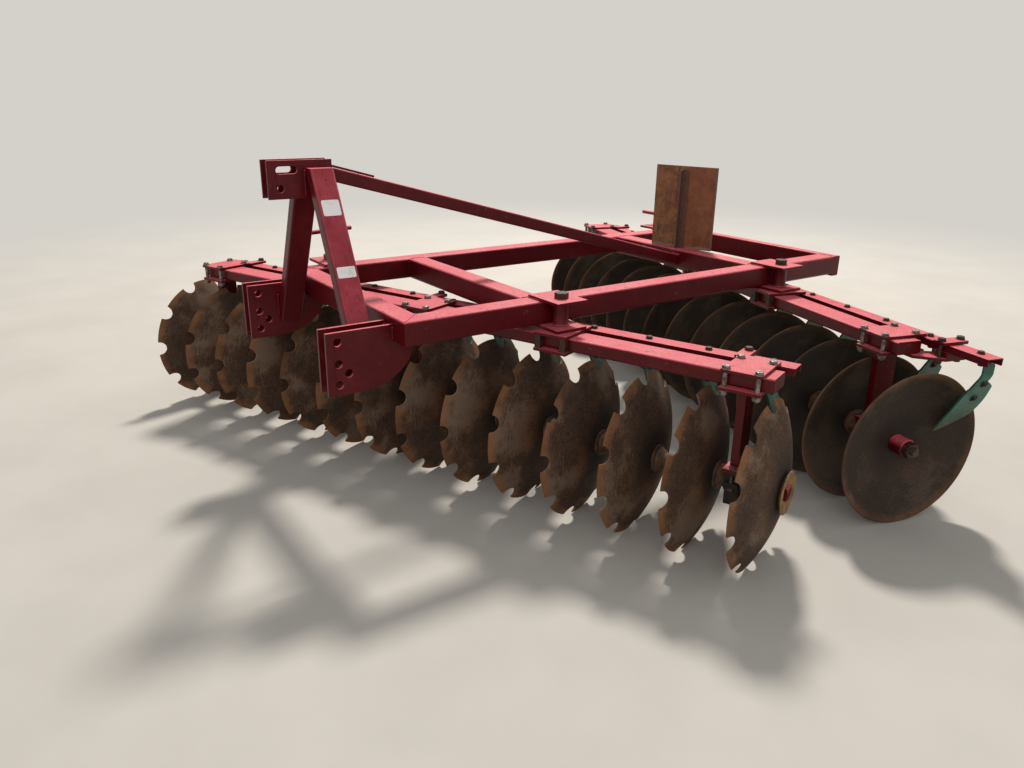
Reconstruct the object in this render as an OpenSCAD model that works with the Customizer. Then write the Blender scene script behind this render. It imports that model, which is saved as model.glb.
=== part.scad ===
// Mounted double-row disc harrow on a welded tube frame, for a three-point
// linkage. +X is the machine's left side, the hitch faces -Y, +Z is up, and
// the origin is on the floor under the middle of the machine's box. Inside the
// modules x = 0 and y = 0 are the middle of the frame's front face.

/* [Main frame] */
// Height of the frame's top face over the floor
frame_top = 818; // [760:2:900]
// Outside width and height of the square frame tube
tube = 90; // [80:2:100]
// Corner radius of the frame tube
tube_r = 9; // [4:1:14]
// Width of the frame over its side rails
frame_w = 1080; // [1040:10:1160]
// Length of the frame over its end crossbars
frame_l = 2410; // [2340:10:2480]
// Distance from the front face to the middle of the second crossbar
second_y = 580; // [520:10:620]
// Distance from the front face to the middle of the third crossbar
third_y = 1865; // [1840:5:1890]
// Width of the rear crossbar's tube along the machine
rear_w = 50; // [44:2:60]
// Height of the rear crossbar's tube
rear_h = 98; // [92:2:100]

/* [Lower hitch] */
// Distance between the middles of the two lower hitch gaps
hitch_spread = 825; // [780:5:860]
// Clear gap between the two plates of one lower hitch
hitch_gap = 52; // [46:1:60]
// Thickness of a hitch plate
hitch_t = 12; // [8:1:16]
// Reach of the hitch plates in front of the frame
hitch_reach = 245; // [225:5:270]
// Depth of the hitch plates
hitch_deep = 224; // [214:2:240]
// Drop of the hitch plates' top edge below the frame's top face
hitch_drop = 26; // [20:1:36]
// Diameter of the lower hitch holes
hitch_bore = 29; // [22:1:38]
// Height of the lowest hitch holes over the floor
hitch_z = 607; // [602:1:612]

/* [Mast] */
// Height of the top link hole over the lowest hitch holes
mast_rise = 610; // [580:5:640]
// Clear gap between the two head plates
head_gap = 52; // [46:1:60]
// Thickness of a head plate
head_t = 10; // [8:1:14]
// Reach of the head plates in front of the frame
head_reach = 257; // [245:1:275]
// Length of the head plates
head_l = 240; // [232:1:250]
// Depth of the head plates
head_deep = 134; // [126:1:144]
// Height of the head plates' top edge over the top link hole
head_over = 98; // [92:1:104]
// Diameter of the top link hole
top_bore = 26; // [19:1:32]
// Length of the top link slot, end to end
slot_l = 78; // [60:1:90]
// Width of the top link slot
slot_w = 26; // [19:1:32]
// Width of a mast leg along the machine
leg_w = 88; // [70:2:94]
// Thickness of a mast leg
leg_t = 50; // [40:2:60]
// Distance from the frame's front face to a mast leg
leg_gap = 32; // [26:1:40]
// Height over the floor of the middle of a leg's foot
leg_foot_z = 700; // [690:2:720]
// Side of the square brace tube
brace = 50; // [40:2:52]

/* [Row beams] */
// Angle of the front row to the machine's width
front_angle = 21; // [20:0.25:22]
// Angle of the rear row to the machine's width
rear_angle = 16.25; // [15.5:0.25:17.5]
// Distance from the frame's front face to the middle of the front row's beam
front_y = 403.5; // [395:1:415]
// Distance from the frame's back face to the middle of the rear row's beam
rear_inset = 351.5; // [340:0.5:362]
// How much shorter a row beam is than the span of its discs' middles
beam_short = 110; // [80:5:130]
// Width of a row beam
beam_w = 110; // [100:2:120]
// Height of a row beam
beam_h = 50; // [44:1:56]
// Gap between a row beam and its scraper bar
bar_gap = 42; // [38:1:50]
// Width of a scraper bar
bar_w = 68; // [60:2:76]
// Height of a scraper bar
bar_h = 28; // [24:1:32]
// Wall of a scraper bar
bar_wall = 5; // [4:1:7]
// Length of the rear scraper bar past the end of its beam
bar_past = 255; // [240:5:270]

/* [Posts and clamps] */
// Distance from the side rail's outer face to a post's middle
post_out = 35; // [33:1:40]
// Outside diameter of a post
post_d = 60; // [50:1:64]
// Side of a post's square plates
post_plate = 140; // [130:2:150]
// Thickness of the post and clamp plates
plate_t = 12; // [10:1:14]
// Distance from a beam's middle line back to its posts
post_v = 20; // [14:1:26]
// Length of a clamp plate along its beam
clamp_l = 140; // [130:2:150]
// Width of a hanger across its beam
hanger_w = 90; // [80:2:96]
// Thickness of a hanger's post
hanger_t = 28; // [24:1:34]
// Diameter of the pivot bolts and spindles
pivot_d = 30; // [24:1:34]
// Length of a spindle's tee handle
handle_l = 250; // [200:10:280]

/* [Discs] */
// Diameter of a disc
disc_d = 610; // [600:2:614]
// Depth of a disc's dish
dish = 80; // [70:1:84]
// Thickness of a disc
disc_t = 6; // [5:0.5:7]
// Radius of the flat middle of a disc
hub_r = 56; // [50:1:60]
// Number of discs in a row
discs = 14; // [10:1:14]
// Spacing of the discs along a row
pitch = 230; // [226:1:231]
// Number of notches round a front disc
notches = 10; // [8:1:12]
// Radius of a notch
notch_r = 33; // [26:1:38]
// Side of the square axle
axle = 30; // [28:1:34]

/* [Scrapers] */
// Width of a scraper arm
arm_w = 50; // [44:1:54]
// Thickness of a scraper arm and of its blade
arm_t = 8; // [6:1:9]
// Length of the upright part of a scraper arm
arm_drop = 52; // [44:1:60]
// Gap between the blade's tip and the dish
tip_gap = 14; // [12:1:20]
// Width of a blade at its widest
blade_w = 122; // [110:1:130]

/* [Board] */
// Width of the wooden board on the third crossbar
board_w = 332; // [300:4:380]
// Height of the board
board_h = 405; // [360:5:440]
// Thickness of the board
board_t = 18; // [12:1:22]

/* [Hidden] */
$fn = 64;

paint = "#a3202c";
rust = "#6b4a34";
steel = "#3a3634";
green = "#2f8f78";
zinc = "#b59a52";

seat = 0.3;
bend_r = 7;
frame_bottom = frame_top - tube;
rail_x = frame_w / 2;
rear_y = frame_l - rear_inset;
last = discs - 1;
beam_l = last * pitch - beam_short;
hitch_y = -hitch_reach + 42;
beam_top = frame_bottom - 2 * plate_t;
beam_bottom = beam_top - beam_h;
clamp_bottom = beam_bottom - plate_t;
bar_bottom = beam_top - bar_h;
disc_r = disc_d / 2;
sphere_r = (disc_r * disc_r + dish * dish) / (2 * dish);
sphere_flat = sqrt(sphere_r * sphere_r - hub_r * hub_r);
edge_in = 4;
rim_r = disc_r - edge_in;
bar_v = beam_w / 2 + bar_gap + bar_w / 2;
clamp_front = -beam_w / 2 - 28;
clamp_back = bar_v - bar_w / 2 + 15;
bearing_w = 64;
bearing_r = 46;
bearing_top = bearing_r + 1;
flange_v = bearing_r + 20;
flare_r = hub_r - 4;
waist_r = 28;
washer_r = 76;
sleeve_r = 36;
sleeve_l = 62;
nut_seat = 10;
nut_h = 26;
head_h = 12;
nut_r = 32;
stub_l = 15;
weld = 1;
far = 4000;
dish_steps = 7;
notch_out = 4;
curve_steps = 8;

// One row each: angle, middle [x, y], side that the dish opens to (1 is left),
// distance of the leftmost disc's middle past the beam's end, hangers, reach of the
// scraper bar past each end [left, right], distance of a scraper's upright from its
// disc's middle, number of scrapers. Hangers: [gap between discs, offset from its middle, side of the
// tongue that holds the scraper bar, 0 for none].
FRONT = 0;
REAR = 1;
rows = [
    [front_angle, [22, front_y], -1, 58,
        [[0, -45, -1], [6, -45, -1], [discs - 2, 2, 1]], [20, 20], 152, discs - 1],
    [-rear_angle, [-10, rear_y], 1, 15,
        [[0, -7, 0], [6, 10, -1], [discs - 2, 46, 1]], [bar_past, 20], 206, discs]
];

function row_x(r, u, v) = rows[r][1][0] + u * cos(rows[r][0]) - v * sin(rows[r][0]);
function row_y(r, u, v) = rows[r][1][1] + u * sin(rows[r][0]) + v * cos(rows[r][0]);
function post_x(side) = side * (rail_x + post_out);
function post_u(r, side) =
    (post_x(side) - rows[r][1][0] + post_v * sin(rows[r][0])) / cos(rows[r][0]);
function post_y(r, side) = row_y(r, post_u(r, side), post_v);
function disc_u(r, i) = beam_l / 2 + rows[r][3] - i * pitch;
function hanger_u(r, k) =
    disc_u(r, rows[r][4][k][0]) - pitch / 2 + rows[r][4][k][1];

// Height of the dish over its flat middle at radius q
function dish_z(q) = sphere_flat - sqrt(sphere_r * sphere_r - q * q);

// Middle of the machine's box: its right and front ends are the rim of the front
// row's last disc, its left end the rear scraper bar and its back end the rim of
// the rear row's last disc
mid_x = (row_x(FRONT, disc_u(FRONT, last) - dish_z(rim_r) - disc_t, rim_r)
    + row_x(REAR, beam_l / 2 + bar_past, bar_v + bar_w / 2)) / 2;
mid_y = (row_y(FRONT, disc_u(FRONT, last) - dish_z(disc_r), -disc_r)
    + row_y(REAR, disc_u(REAR, last) + dish_z(disc_r), disc_r)) / 2;

// Moves a piece from the frame's front face to the machine's origin
module placed() {
    translate([-mid_x, -mid_y, 0])
        children();
}

module in_row(r) {
    translate([rows[r][1][0], rows[r][1][1], 0])
        rotate([0, 0, rows[r][0]])
            children();
}

// Rounded rectangle, middle at the origin
module rounded(w, h, r) {
    square([w - 2 * r, h], center = true);
    square([w, h - 2 * r], center = true);
    for (sx = [-1, 1])
        for (sy = [-1, 1])
            translate([sx * (w / 2 - r), sy * (h / 2 - r)])
                circle(r);
}

// Frame tube along Y from y0 to y1
module tube_y(y0, y1) {
    translate([0, y1, frame_top - tube / 2])
        rotate([90, 0, 0])
            linear_extrude(height = y1 - y0)
                rounded(tube, tube, tube_r);
}

// Frame tube along X from x0 to x1
module tube_x(x0, x1) {
    translate([x0, 0, frame_top - tube / 2])
        rotate([90, 0, 90])
            linear_extrude(height = x1 - x0)
                rounded(tube, tube, tube_r);
}

module side_rail(side) {
    color(paint)
        difference() {
            translate([side * (rail_x - tube / 2), 0, 0])
                tube_y(0, frame_l - rear_w);
            corner_wedge(side);
        }
}

// Triangular prism that the front crossbar's mitred end keeps and a side rail loses
module corner_wedge(side) {
    translate([0, 0, frame_bottom - 1])
        linear_extrude(height = tube + 2)
            polygon([
                [side * (rail_x + 1), -1],
                [side * (rail_x - tube - 1), -1],
                [side * (rail_x - tube - 1), tube + 1]
            ]);
}

module mitred_crossbar() {
    color(paint)
        intersection() {
            translate([0, tube / 2, 0])
                tube_x(-rail_x, rail_x);
            translate([0, 0, frame_bottom - 1])
                linear_extrude(height = tube + 2)
                    polygon([
                        [-rail_x, 0],
                        [rail_x, 0],
                        [rail_x - tube, tube],
                        [tube - rail_x, tube]
                    ]);
        }
}

// Rear crossbar: a narrower, deeper tube across the rails' ends, flush with their tops
module end_crossbar() {
    color(paint)
        translate([-rail_x, frame_l - rear_w / 2, frame_top - rear_h / 2])
            rotate([90, 0, 90])
                linear_extrude(height = 2 * rail_x)
                    rounded(rear_w, rear_h, bend_r);
}

module middle_crossbar(y) {
    color(paint)
        translate([0, y, 0])
            tube_x(-(rail_x - tube), rail_x - tube);
}

module side_rail_left() placed() side_rail(1);
module side_rail_right() placed() side_rail(-1);
module front_crossbar() placed() mitred_crossbar();
module rear_crossbar() placed() end_crossbar();
module second_crossbar() placed() middle_crossbar(second_y);
module third_crossbar() placed() middle_crossbar(third_y);

// Lower hitch plate outline in the machine's side plane, as [y, z]: the lower edge
// runs level and then sweeps up on a quarter of an ellipse to under the crossbar
hitch_flat = 125;
hitch_top = frame_top - hitch_drop;
hitch_low = hitch_top - hitch_deep;
hitch_back = tube - 6;
sweep_y = hitch_reach + hitch_back - hitch_flat;

// Holes of a hitch plate as [way back, way up] from the lowest one
hitch_holes = [[0, 0], [36, 36], [0, 74], [0, 150]];

module hitch_outline() {
    polygon(concat(
        [[-hitch_reach, hitch_top], [-hitch_reach, hitch_low]],
        [for (k = [0 : curve_steps])
            [hitch_back - sweep_y + sweep_y * sin(90 * k / curve_steps),
             frame_bottom - (frame_bottom - hitch_low) * cos(90 * k / curve_steps)]],
        [[0, frame_bottom], [0, hitch_top]]
    ));
}

module hitch_plate(side, outer) {
    gap_x = side * hitch_spread / 2;
    off = side * outer * (hitch_gap + hitch_t) / 2;
    color(paint)
        difference() {
            translate([gap_x + off - hitch_t / 2, 0, 0])
                rotate([90, 0, 90])
                    linear_extrude(height = hitch_t)
                        hitch_outline();
            for (h = hitch_holes)
                translate([gap_x + off - hitch_t, hitch_y + h[0], hitch_z + h[1]])
                    rotate([0, 90, 0])
                        cylinder(h = 2 * hitch_t, d = hitch_bore);
        }
}

module hitch_plate_left_outer() placed() hitch_plate(1, 1);
module hitch_plate_left_inner() placed() hitch_plate(1, -1);
module hitch_plate_right_inner() placed() hitch_plate(-1, -1);
module hitch_plate_right_outer() placed() hitch_plate(-1, 1);

// Head plate: the slot's front end and middle line lie slot_in and slot_down from
// the front and top edges, the hole's middle hole_in from the front edge
slot_in = 32;
slot_down = 34;
hole_in = 46;
head_z = hitch_z + mast_rise;
head_top = head_z + head_over;
slot_y = -head_reach + slot_in + slot_l / 2;
slot_z = head_top - slot_down;

module head_plate(side) {
    color(paint)
        difference() {
            translate([side * (head_gap + head_t) / 2 - head_t / 2, -head_reach,
                       head_top - head_deep])
                cube([head_t, head_l, head_deep]);
            translate([side * head_gap / 2 - head_t * 2, -head_reach + hole_in, head_z])
                rotate([0, 90, 0])
                    cylinder(h = head_t * 4, d = top_bore);
            translate([side * head_gap / 2 - head_t * 2, slot_y, slot_z])
                rotate([90, 0, 90])
                    linear_extrude(height = head_t * 4)
                        union() {
                            square([slot_l - slot_w, slot_w], center = true);
                            for (s = [-1, 1])
                                translate([s * (slot_l - slot_w) / 2, 0])
                                    circle(d = slot_w);
                        }
        }
}

module head_plate_left() placed() head_plate(1);
module head_plate_right() placed() head_plate(-1);

// Mast leg: a box section leaning in the machine's cross plane, from beside a head
// plate to beside an inner hitch plate, cut level at both ends
leg_top = [head_gap / 2 + head_t + leg_t / 2, head_top - 28];
leg_foot = [hitch_spread / 2 - hitch_gap / 2 - hitch_t - leg_t / 2, leg_foot_z];
leg_y = -leg_gap - leg_w / 2;
leg_below = 70;
leg_spare = 80;

module mast_leg(side) {
    lean = atan2(leg_foot[0] - leg_top[0], leg_top[1] - leg_foot[1]);
    run = norm([leg_foot[0] - leg_top[0], leg_top[1] - leg_foot[1]]);
    color(paint)
        difference() {
            translate([side * leg_top[0], leg_y, leg_top[1]])
                rotate([0, side * -lean, 0])
                    translate([0, 0, -run - leg_spare])
                        linear_extrude(height = run + 2 * leg_spare)
                            rounded(leg_t, leg_w, bend_r);
            translate([-far / 2, -far / 2, leg_top[1]])
                cube([far, far, far]);
            translate([-far / 2, -far / 2, leg_foot_z - leg_below - far])
                cube([far, far, far]);
            translate([side > 0 ? leg_foot[0] + leg_t / 2 : -leg_foot[0] - leg_t / 2 - far,
                       -far / 2, -far / 2])
                cube([far, far, far]);
            translate([side > 0 ? leg_top[0] - leg_t / 2 - far : -leg_top[0] + leg_t / 2,
                       -far / 2, -far / 2])
                cube([far, far, far]);
        }
}

module mast_leg_left() placed() mast_leg(1);
module mast_leg_right() placed() mast_leg(-1);

// Brace from between the head plates down to the third crossbar's front face
brace_in = 75;
brace_y0 = -head_reach + head_l - brace_in;
brace_z0 = head_top - 34;
brace_y1 = third_y - tube / 2;
brace_z1 = frame_top - tube / 2 - 6;
brace_spare = 60;
strap_w = 30;
strap_t = 8;
strap_from = 82;
strap_l = 170;

module mast_brace_piece() {
    fall = atan2(brace_z0 - brace_z1, brace_y1 - brace_y0);
    run = norm([brace_z0 - brace_z1, brace_y1 - brace_y0]);
    color(paint)
        intersection() {
            translate([0, brace_y0, brace_z0])
                rotate([-fall, 0, 0])
                    translate([0, run + brace_spare, 0])
                        rotate([90, 0, 0])
                            linear_extrude(height = run + 2 * brace_spare)
                                rounded(brace, brace, bend_r);
            translate([-brace, brace_y0, 0])
                cube([2 * brace, brace_y1 - brace_y0, far]);
        }
}

module brace_strap_piece() {
    fall = atan2(brace_z0 - brace_z1, brace_y1 - brace_y0);
    color(paint)
        translate([0, brace_y0, brace_z0])
            rotate([-fall, 0, 0])
                translate([-strap_w / 2, strap_from, brace / 2])
                    cube([strap_w, strap_l, strap_t]);
}

// Post: a tube between two plates, welded to the outer face of a side rail. The
// upper plate reaches in over the flat of the rail's top.
module post(r, side) {
    post_in = post_out + tube - tube_r;
    color(paint)
        translate([post_x(side), post_y(r, side), 0])
            difference() {
                union() {
                    translate([0, 0, frame_bottom])
                        cylinder(h = tube, d = post_d);
                    translate([-post_plate / 2, -post_plate / 2, frame_bottom - plate_t])
                        cube([post_plate, post_plate, plate_t]);
                    translate([side > 0 ? -post_in : -post_plate / 2, -post_plate / 2,
                               frame_top])
                        cube([post_in + post_plate / 2, post_plate, plate_t]);
                }
                translate([0, 0, frame_bottom - 2 * plate_t])
                    cylinder(h = tube + 4 * plate_t, d = pivot_d + 2 * seat);
            }
}

module post_front_left() placed() post(FRONT, 1);
module post_rear_left() placed() post(REAR, 1);
module post_front_right() placed() post(FRONT, -1);
module post_rear_right() placed() post(REAR, -1);

pivot_head_h = 22;
pivot_head_d = 54;
handle_d = 20;

module pivot_bolt(r) {
    color(steel)
        translate([post_x(1), post_y(r, 1), 0]) {
            translate([0, 0, beam_top + plate_t])
                cylinder(h = frame_top - beam_top, d = pivot_d);
            translate([0, 0, frame_top + plate_t])
                cylinder(h = pivot_head_h, d = pivot_head_d, $fn = 6);
        }
}

module pivot_bolt_front() placed() pivot_bolt(FRONT);
module pivot_bolt_rear() placed() pivot_bolt(REAR);

// Threaded spindle with a tee handle. Each spindle's [height of the handle over the
// frame, its angle from X].
front_handle = [140, 104];
rear_handle = [80, 0];

module spindle(r, handle) {
    rise = handle[0];
    color(paint)
        translate([post_x(-1), post_y(r, -1), 0]) {
            translate([0, 0, beam_top + plate_t])
                cylinder(h = frame_top + rise - beam_top - plate_t, d = pivot_d);
            translate([0, 0, frame_top + plate_t])
                cylinder(h = pivot_head_h, d = pivot_head_d, $fn = 6);
            translate([0, 0, frame_top + rise])
                rotate([0, 0, handle[1]])
                    translate([-handle_l / 2, 0, 0])
                        rotate([0, 90, 0])
                            cylinder(h = handle_l, d = handle_d);
        }
}

module spindle_front() placed() spindle(FRONT, front_handle);
module spindle_rear() placed() spindle(REAR, rear_handle);

// Board standing on the third crossbar, with a steel angle in front of it
board_turn = 16;
board_mid = [-26, third_y + 7];
angle_x = -14;
angle_side = 34;
angle_t = 5;
angle_short = 18;

module board_piece() {
    color("#7a4a28")
        translate([board_mid[0], board_mid[1], frame_top])
            rotate([0, 0, board_turn])
                translate([-board_w / 2, 0, 0])
                    cube([board_w, board_t, board_h]);
}

module board_angle_piece() {
    color(steel)
        translate([board_mid[0], board_mid[1], frame_top])
            rotate([0, 0, board_turn])
                translate([angle_x, -seat, 0]) {
                    translate([0, -angle_t, 0])
                        cube([angle_side, angle_t, board_h - angle_short]);
                    translate([0, -angle_side, 0])
                        cube([angle_t, angle_side, board_h - angle_short]);
                }
}

// Row beam with closed ends
module beam(r) {
    color(paint)
        in_row(r)
            translate([-beam_l / 2, 0, beam_top - beam_h / 2])
                rotate([90, 0, 90])
                    linear_extrude(height = beam_l)
                        rounded(beam_w, beam_h, bend_r);
}

// Scraper bar: a channel open below
module scraper_bar(r) {
    u0 = -beam_l / 2 - rows[r][5][1];
    u1 = beam_l / 2 + rows[r][5][0];
    color(paint)
        in_row(r)
            translate([u0, bar_v, beam_top - bar_h])
                rotate([90, 0, 90])
                    linear_extrude(height = u1 - u0)
                        difference() {
                            translate([-bar_w / 2, 0])
                                square([bar_w, bar_h]);
                            translate([-bar_w / 2 + bar_wall, -1])
                                square([bar_w - 2 * bar_wall, bar_h - bar_wall + 1]);
                        }
}

module front_beam() placed() beam(FRONT);
module rear_beam() placed() beam(REAR);
module front_scraper_bar() placed() scraper_bar(FRONT);
module rear_scraper_bar() placed() scraper_bar(REAR);

// Clamp plate over or under a beam, from its front to beside its bar
module clamp_plate(u, z) {
    translate([u - clamp_l / 2, clamp_front, z])
        cube([clamp_l, clamp_back - clamp_front, plate_t]);
}

// Tongue of a top clamp plate, which reaches over the scraper bar to a bolt behind
// it, and the clip under the bar that the bolt draws up
tongue_w = 46;
tongue_out = 16;
tongue_over = 22;
tongue_root = 20;
clip_w = 30;
tongue_end = bar_v + bar_w / 2 + tongue_over;

module tongue(u, side) {
    tongue_u = u + side * (clamp_l / 2 + tongue_out - tongue_w / 2);
    translate([tongue_u - tongue_w / 2, clamp_back - tongue_root, beam_top])
        cube([tongue_w, tongue_end - clamp_back + tongue_root, plate_t]);
    translate([tongue_u - clip_w / 2, bar_v - bar_w / 4, bar_bottom - plate_t])
        cube([clip_w, tongue_end - bar_v + bar_w / 4, plate_t]);
}

// Distance outwards from a post's middle to the middle of its pivot plates
pivot_shift = 15;

module clamp_plates(r) {
    color(paint)
        in_row(r)
            for (k = [0 : 2]) {
                clamp_plate(hanger_u(r, k), beam_top);
                if (rows[r][4][k][2] != 0)
                    tongue(hanger_u(r, k), rows[r][4][k][2]);
            }
}

module pivot_plates(r) {
    color(paint)
        in_row(r)
            for (side = [-1, 1])
                for (z = [beam_top, clamp_bottom])
                    clamp_plate(post_u(r, side) + side * pivot_shift, z);
}

module front_clamp_plates() placed() clamp_plates(FRONT);
module rear_clamp_plates() placed() clamp_plates(REAR);
module front_pivot_plates() placed() pivot_plates(FRONT);
module rear_pivot_plates() placed() pivot_plates(REAR);

// Splice of the rear scraper bar past the beam's end: a strap over the bar, and a
// bracket from under the beam's end with a spacer up to the bar
splice_u = beam_l / 2 + 57;
splice_l = 54;
splice_end = splice_u + splice_l / 2;
bracket_u = beam_l / 2 - 34;
bracket_v = 10;
bracket_w = 46;

module bar_splice() {
    color(paint)
        in_row(REAR) {
            translate([splice_u - splice_l / 2, bar_v - bar_w / 2 - tongue_over, beam_top])
                cube([splice_l, bar_w + 2 * tongue_over, plate_t]);
            translate([0, 0, clamp_bottom])
                linear_extrude(height = plate_t)
                    polygon([
                        [bracket_u, bracket_v],
                        [bracket_u + bracket_w, bracket_v],
                        [splice_end, bar_v - bar_w / 2],
                        [splice_end, tongue_end],
                        [splice_end - splice_l, tongue_end],
                        [bracket_u, beam_w / 2 + 20]
                    ]);
            translate([splice_u - splice_l / 2, bar_v - bar_w / 2, beam_bottom - weld])
                cube([splice_l, bar_w, bar_bottom - beam_bottom + weld]);
        }
}

module rear_bar_splice() placed() bar_splice();

// Hanger: clamp plate, flat post and the foot that sits on the bearing
module hanger(r, k) {
    u = hanger_u(r, k);
    foot_z = disc_r + bearing_top;
    post_z = foot_z + plate_t - weld;
    color(paint)
        in_row(r) {
            clamp_plate(u, clamp_bottom);
            translate([u - hanger_t / 2, -hanger_w / 2, post_z])
                cube([hanger_t, hanger_w, clamp_bottom - post_z + weld]);
            translate([u - bearing_w / 2, -flange_v, foot_z])
                cube([bearing_w, 2 * flange_v, plate_t]);
        }
}

module front_hanger_left() placed() hanger(FRONT, 0);
module front_hanger_middle() placed() hanger(FRONT, 1);
module front_hanger_right() placed() hanger(FRONT, 2);
module rear_hanger_left() placed() hanger(REAR, 0);
module rear_hanger_middle() placed() hanger(REAR, 1);
module rear_hanger_right() placed() hanger(REAR, 2);

// Bearing block under a hanger's foot, in two halves with flanges at the foot and at
// their joint, an oil sump below, and a bore for the waist of a spool
flange_h = 9;
flange_in = 6;
sump_w = 48;
sump_deep = 84;
sump_over = 20;
sump_r = 14;

module bearing(u) {
    translate([u - bearing_w / 2, 0, disc_r])
        difference() {
            union() {
                rotate([0, 90, 0])
                    cylinder(h = bearing_w, r = bearing_r);
                translate([0, -bearing_r, 0])
                    cube([bearing_w, 2 * bearing_r, bearing_top]);
                translate([(bearing_w - sump_w) / 2, 0, (sump_over - sump_deep) / 2])
                    rotate([90, 0, 90])
                        linear_extrude(height = sump_w)
                            rounded(2 * bearing_r, sump_deep + sump_over, sump_r);
                translate([flange_in, -flange_v, bearing_top - flange_h])
                    cube([bearing_w - 2 * flange_in, 2 * flange_v, flange_h]);
                translate([flange_in, -flange_v, -flange_h])
                    cube([bearing_w - 2 * flange_in, 2 * flange_v, 2 * flange_h]);
            }
            rotate([0, 90, 0])
                cylinder(h = far, r = waist_r + seat, center = true);
        }
}

module bearings(r) {
    color(steel)
        in_row(r)
            for (k = [0 : 2])
                bearing(hanger_u(r, k));
}

module front_bearings() placed() bearings(FRONT);
module rear_bearings() placed() bearings(REAR);

// Distance behind the axle at which a blade's face at distance u from the disc and
// height z is tip_gap off the dish
function edge_v(u, z) =
    let (c = sphere_flat - (u - disc_t - tip_gap))
        sqrt(sphere_r * sphere_r - c * c - (z - disc_r) * (z - disc_r));

// Scraper, built for a dish that opens to +u: a flat arm bolted under the bar,
// bent down and then in towards the dish, and a blade with a straight front edge
// and a back edge that follows the dish. tip is the blade's point as [v, z].
tip = [133, 350];
foot_l = 58;
arm_v = 127;
blade_start = 74;
blade_full = 180;
blade_step = 10;
neck = [22, 30];

module scraper(out) {
    face = out - arm_t;
    bend_z = bar_bottom - arm_drop;
    tip_u = disc_t + dish_z(norm([tip[0], tip[1] - disc_r])) + tip_gap;
    slope = atan2(face - tip_u, bend_z - tip[1]);
    run = norm([face - tip_u, bend_z - tip[1]]);
    translate([out - foot_l, arm_v, bar_bottom - arm_t])
        cube([foot_l, arm_w, arm_t]);
    translate([face, arm_v, bend_z])
        cube([arm_t, arm_w, bar_bottom - bend_z]);
    translate([face, 0, bend_z])
        rotate([0, slope, 0])
            rotate([90, 0, 90])
                linear_extrude(height = arm_t)
                    polygon(concat(
                        [[arm_v, 4], [arm_v, -blade_start],
                         [tip[0] - blade_step, -blade_start], [tip[0], -run]],
                        [for (k = [1 : curve_steps])
                            let (d = run - (run - blade_full) * k / curve_steps)
                                [min(edge_v(face - d * sin(slope), bend_z - d * cos(slope)),
                                     arm_v + blade_w), -d]],
                        [[arm_v + blade_w - neck[0], -blade_start],
                         [arm_v + arm_w, -neck[1]], [arm_v + arm_w, 4]]
                    ));
}

module scrapers(r) {
    color(green)
        in_row(r)
            for (i = [0 : rows[r][7] - 1])
                translate([disc_u(r, i), 0, 0])
                    mirror([rows[r][2] > 0 ? 0 : 1, 0, 0])
                        scraper(rows[r][6]);
}

module front_scrapers() placed() scrapers(FRONT);
module rear_scrapers() placed() scrapers(REAR);

// Points [radius, height] on the dish from the flat middle to radius r1, raised
// by lift
function dish_arc(r1, lift) = [
    for (k = [0 : dish_steps])
        let (q = hub_r + (r1 - hub_r) * k / dish_steps)
            [q, dish_z(q) + lift]
];

function backward(list) = [for (k = [len(list) - 1 : -1 : 0]) list[k]];

// Disc in its own frame: axis along z, dish open to +z, flat middle at z = 0
module disc(cut) {
    difference() {
        rotate_extrude()
            polygon(concat(
                [[0, 0]],
                dish_arc(disc_r, 0),
                backward(dish_arc(rim_r, disc_t)),
                [[0, disc_t]]
            ));
        translate([-axle / 2 - seat, -axle / 2 - seat, -1])
            cube([axle + 2 * seat, axle + 2 * seat, 2 * disc_t]);
        if (cut)
            for (i = [0 : notches - 1])
                rotate([0, 0, i * 360 / notches])
                    translate([disc_r - notch_out, 0, -1])
                        cylinder(h = dish + 3 * disc_t, r = notch_r);
    }
}

// Places children at a disc, with z turned to the way that its dish opens
module on_axle(r, u) {
    translate([u, 0, disc_r])
        rotate([0, rows[r][2] * 90, 0])
            children();
}

module disc_row(r, cut) {
    color(rust)
        in_row(r)
            for (i = [0 : discs - 1])
                on_axle(r, disc_u(r, i))
                    rotate([0, 0, (discs - i) * 90])
                        disc(cut);
}

module front_discs() placed() disc_row(FRONT, true);
module rear_discs() placed() disc_row(REAR, false);

// Square axle with round threaded ends for its nuts; only the one past the sleeve
// stands out of its nut
module axle_bar(r) {
    run = last * pitch + nut_seat + disc_t + sleeve_l;
    color(steel) {
        in_row(r)
            on_axle(r, disc_u(r, rows[r][2] > 0 ? 0 : last))
                translate([0, 0, -last * pitch - nut_seat])
                    linear_extrude(height = run)
                        square(axle, center = true);
        at_ends(r)
            translate([0, 0, ($hollow ? sleeve_l : nut_seat) - weld])
                cylinder(h = weld + ($hollow ? nut_h + stub_l : head_h), d = axle);
    }
}

module front_axle() placed() axle_bar(FRONT);
module rear_axle() placed() axle_bar(REAR);

// Spool between two discs: flared ends and a slim waist, square bore
module spool(length) {
    difference() {
        rotate_extrude()
            polygon([
                [0, 0], [flare_r, 0], [flare_r, 8], [flare_r - 18, 20], [waist_r, 30],
                [waist_r, length - 30], [flare_r - 18, length - 20],
                [flare_r, length - 8], [flare_r, length], [0, length]
            ]);
        translate([-axle / 2 - seat, -axle / 2 - seat, -1])
            cube([axle + 2 * seat, axle + 2 * seat, length + 2]);
    }
}

module spools(r) {
    color(rust)
        in_row(r)
            for (i = [0 : discs - 2])
                on_axle(r, rows[r][2] > 0 ? disc_u(r, i + 1) : disc_u(r, i))
                    translate([0, 0, disc_t])
                        spool(pitch - disc_t);
}

module front_spools() placed() spools(FRONT);
module rear_spools() placed() spools(REAR);

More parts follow.
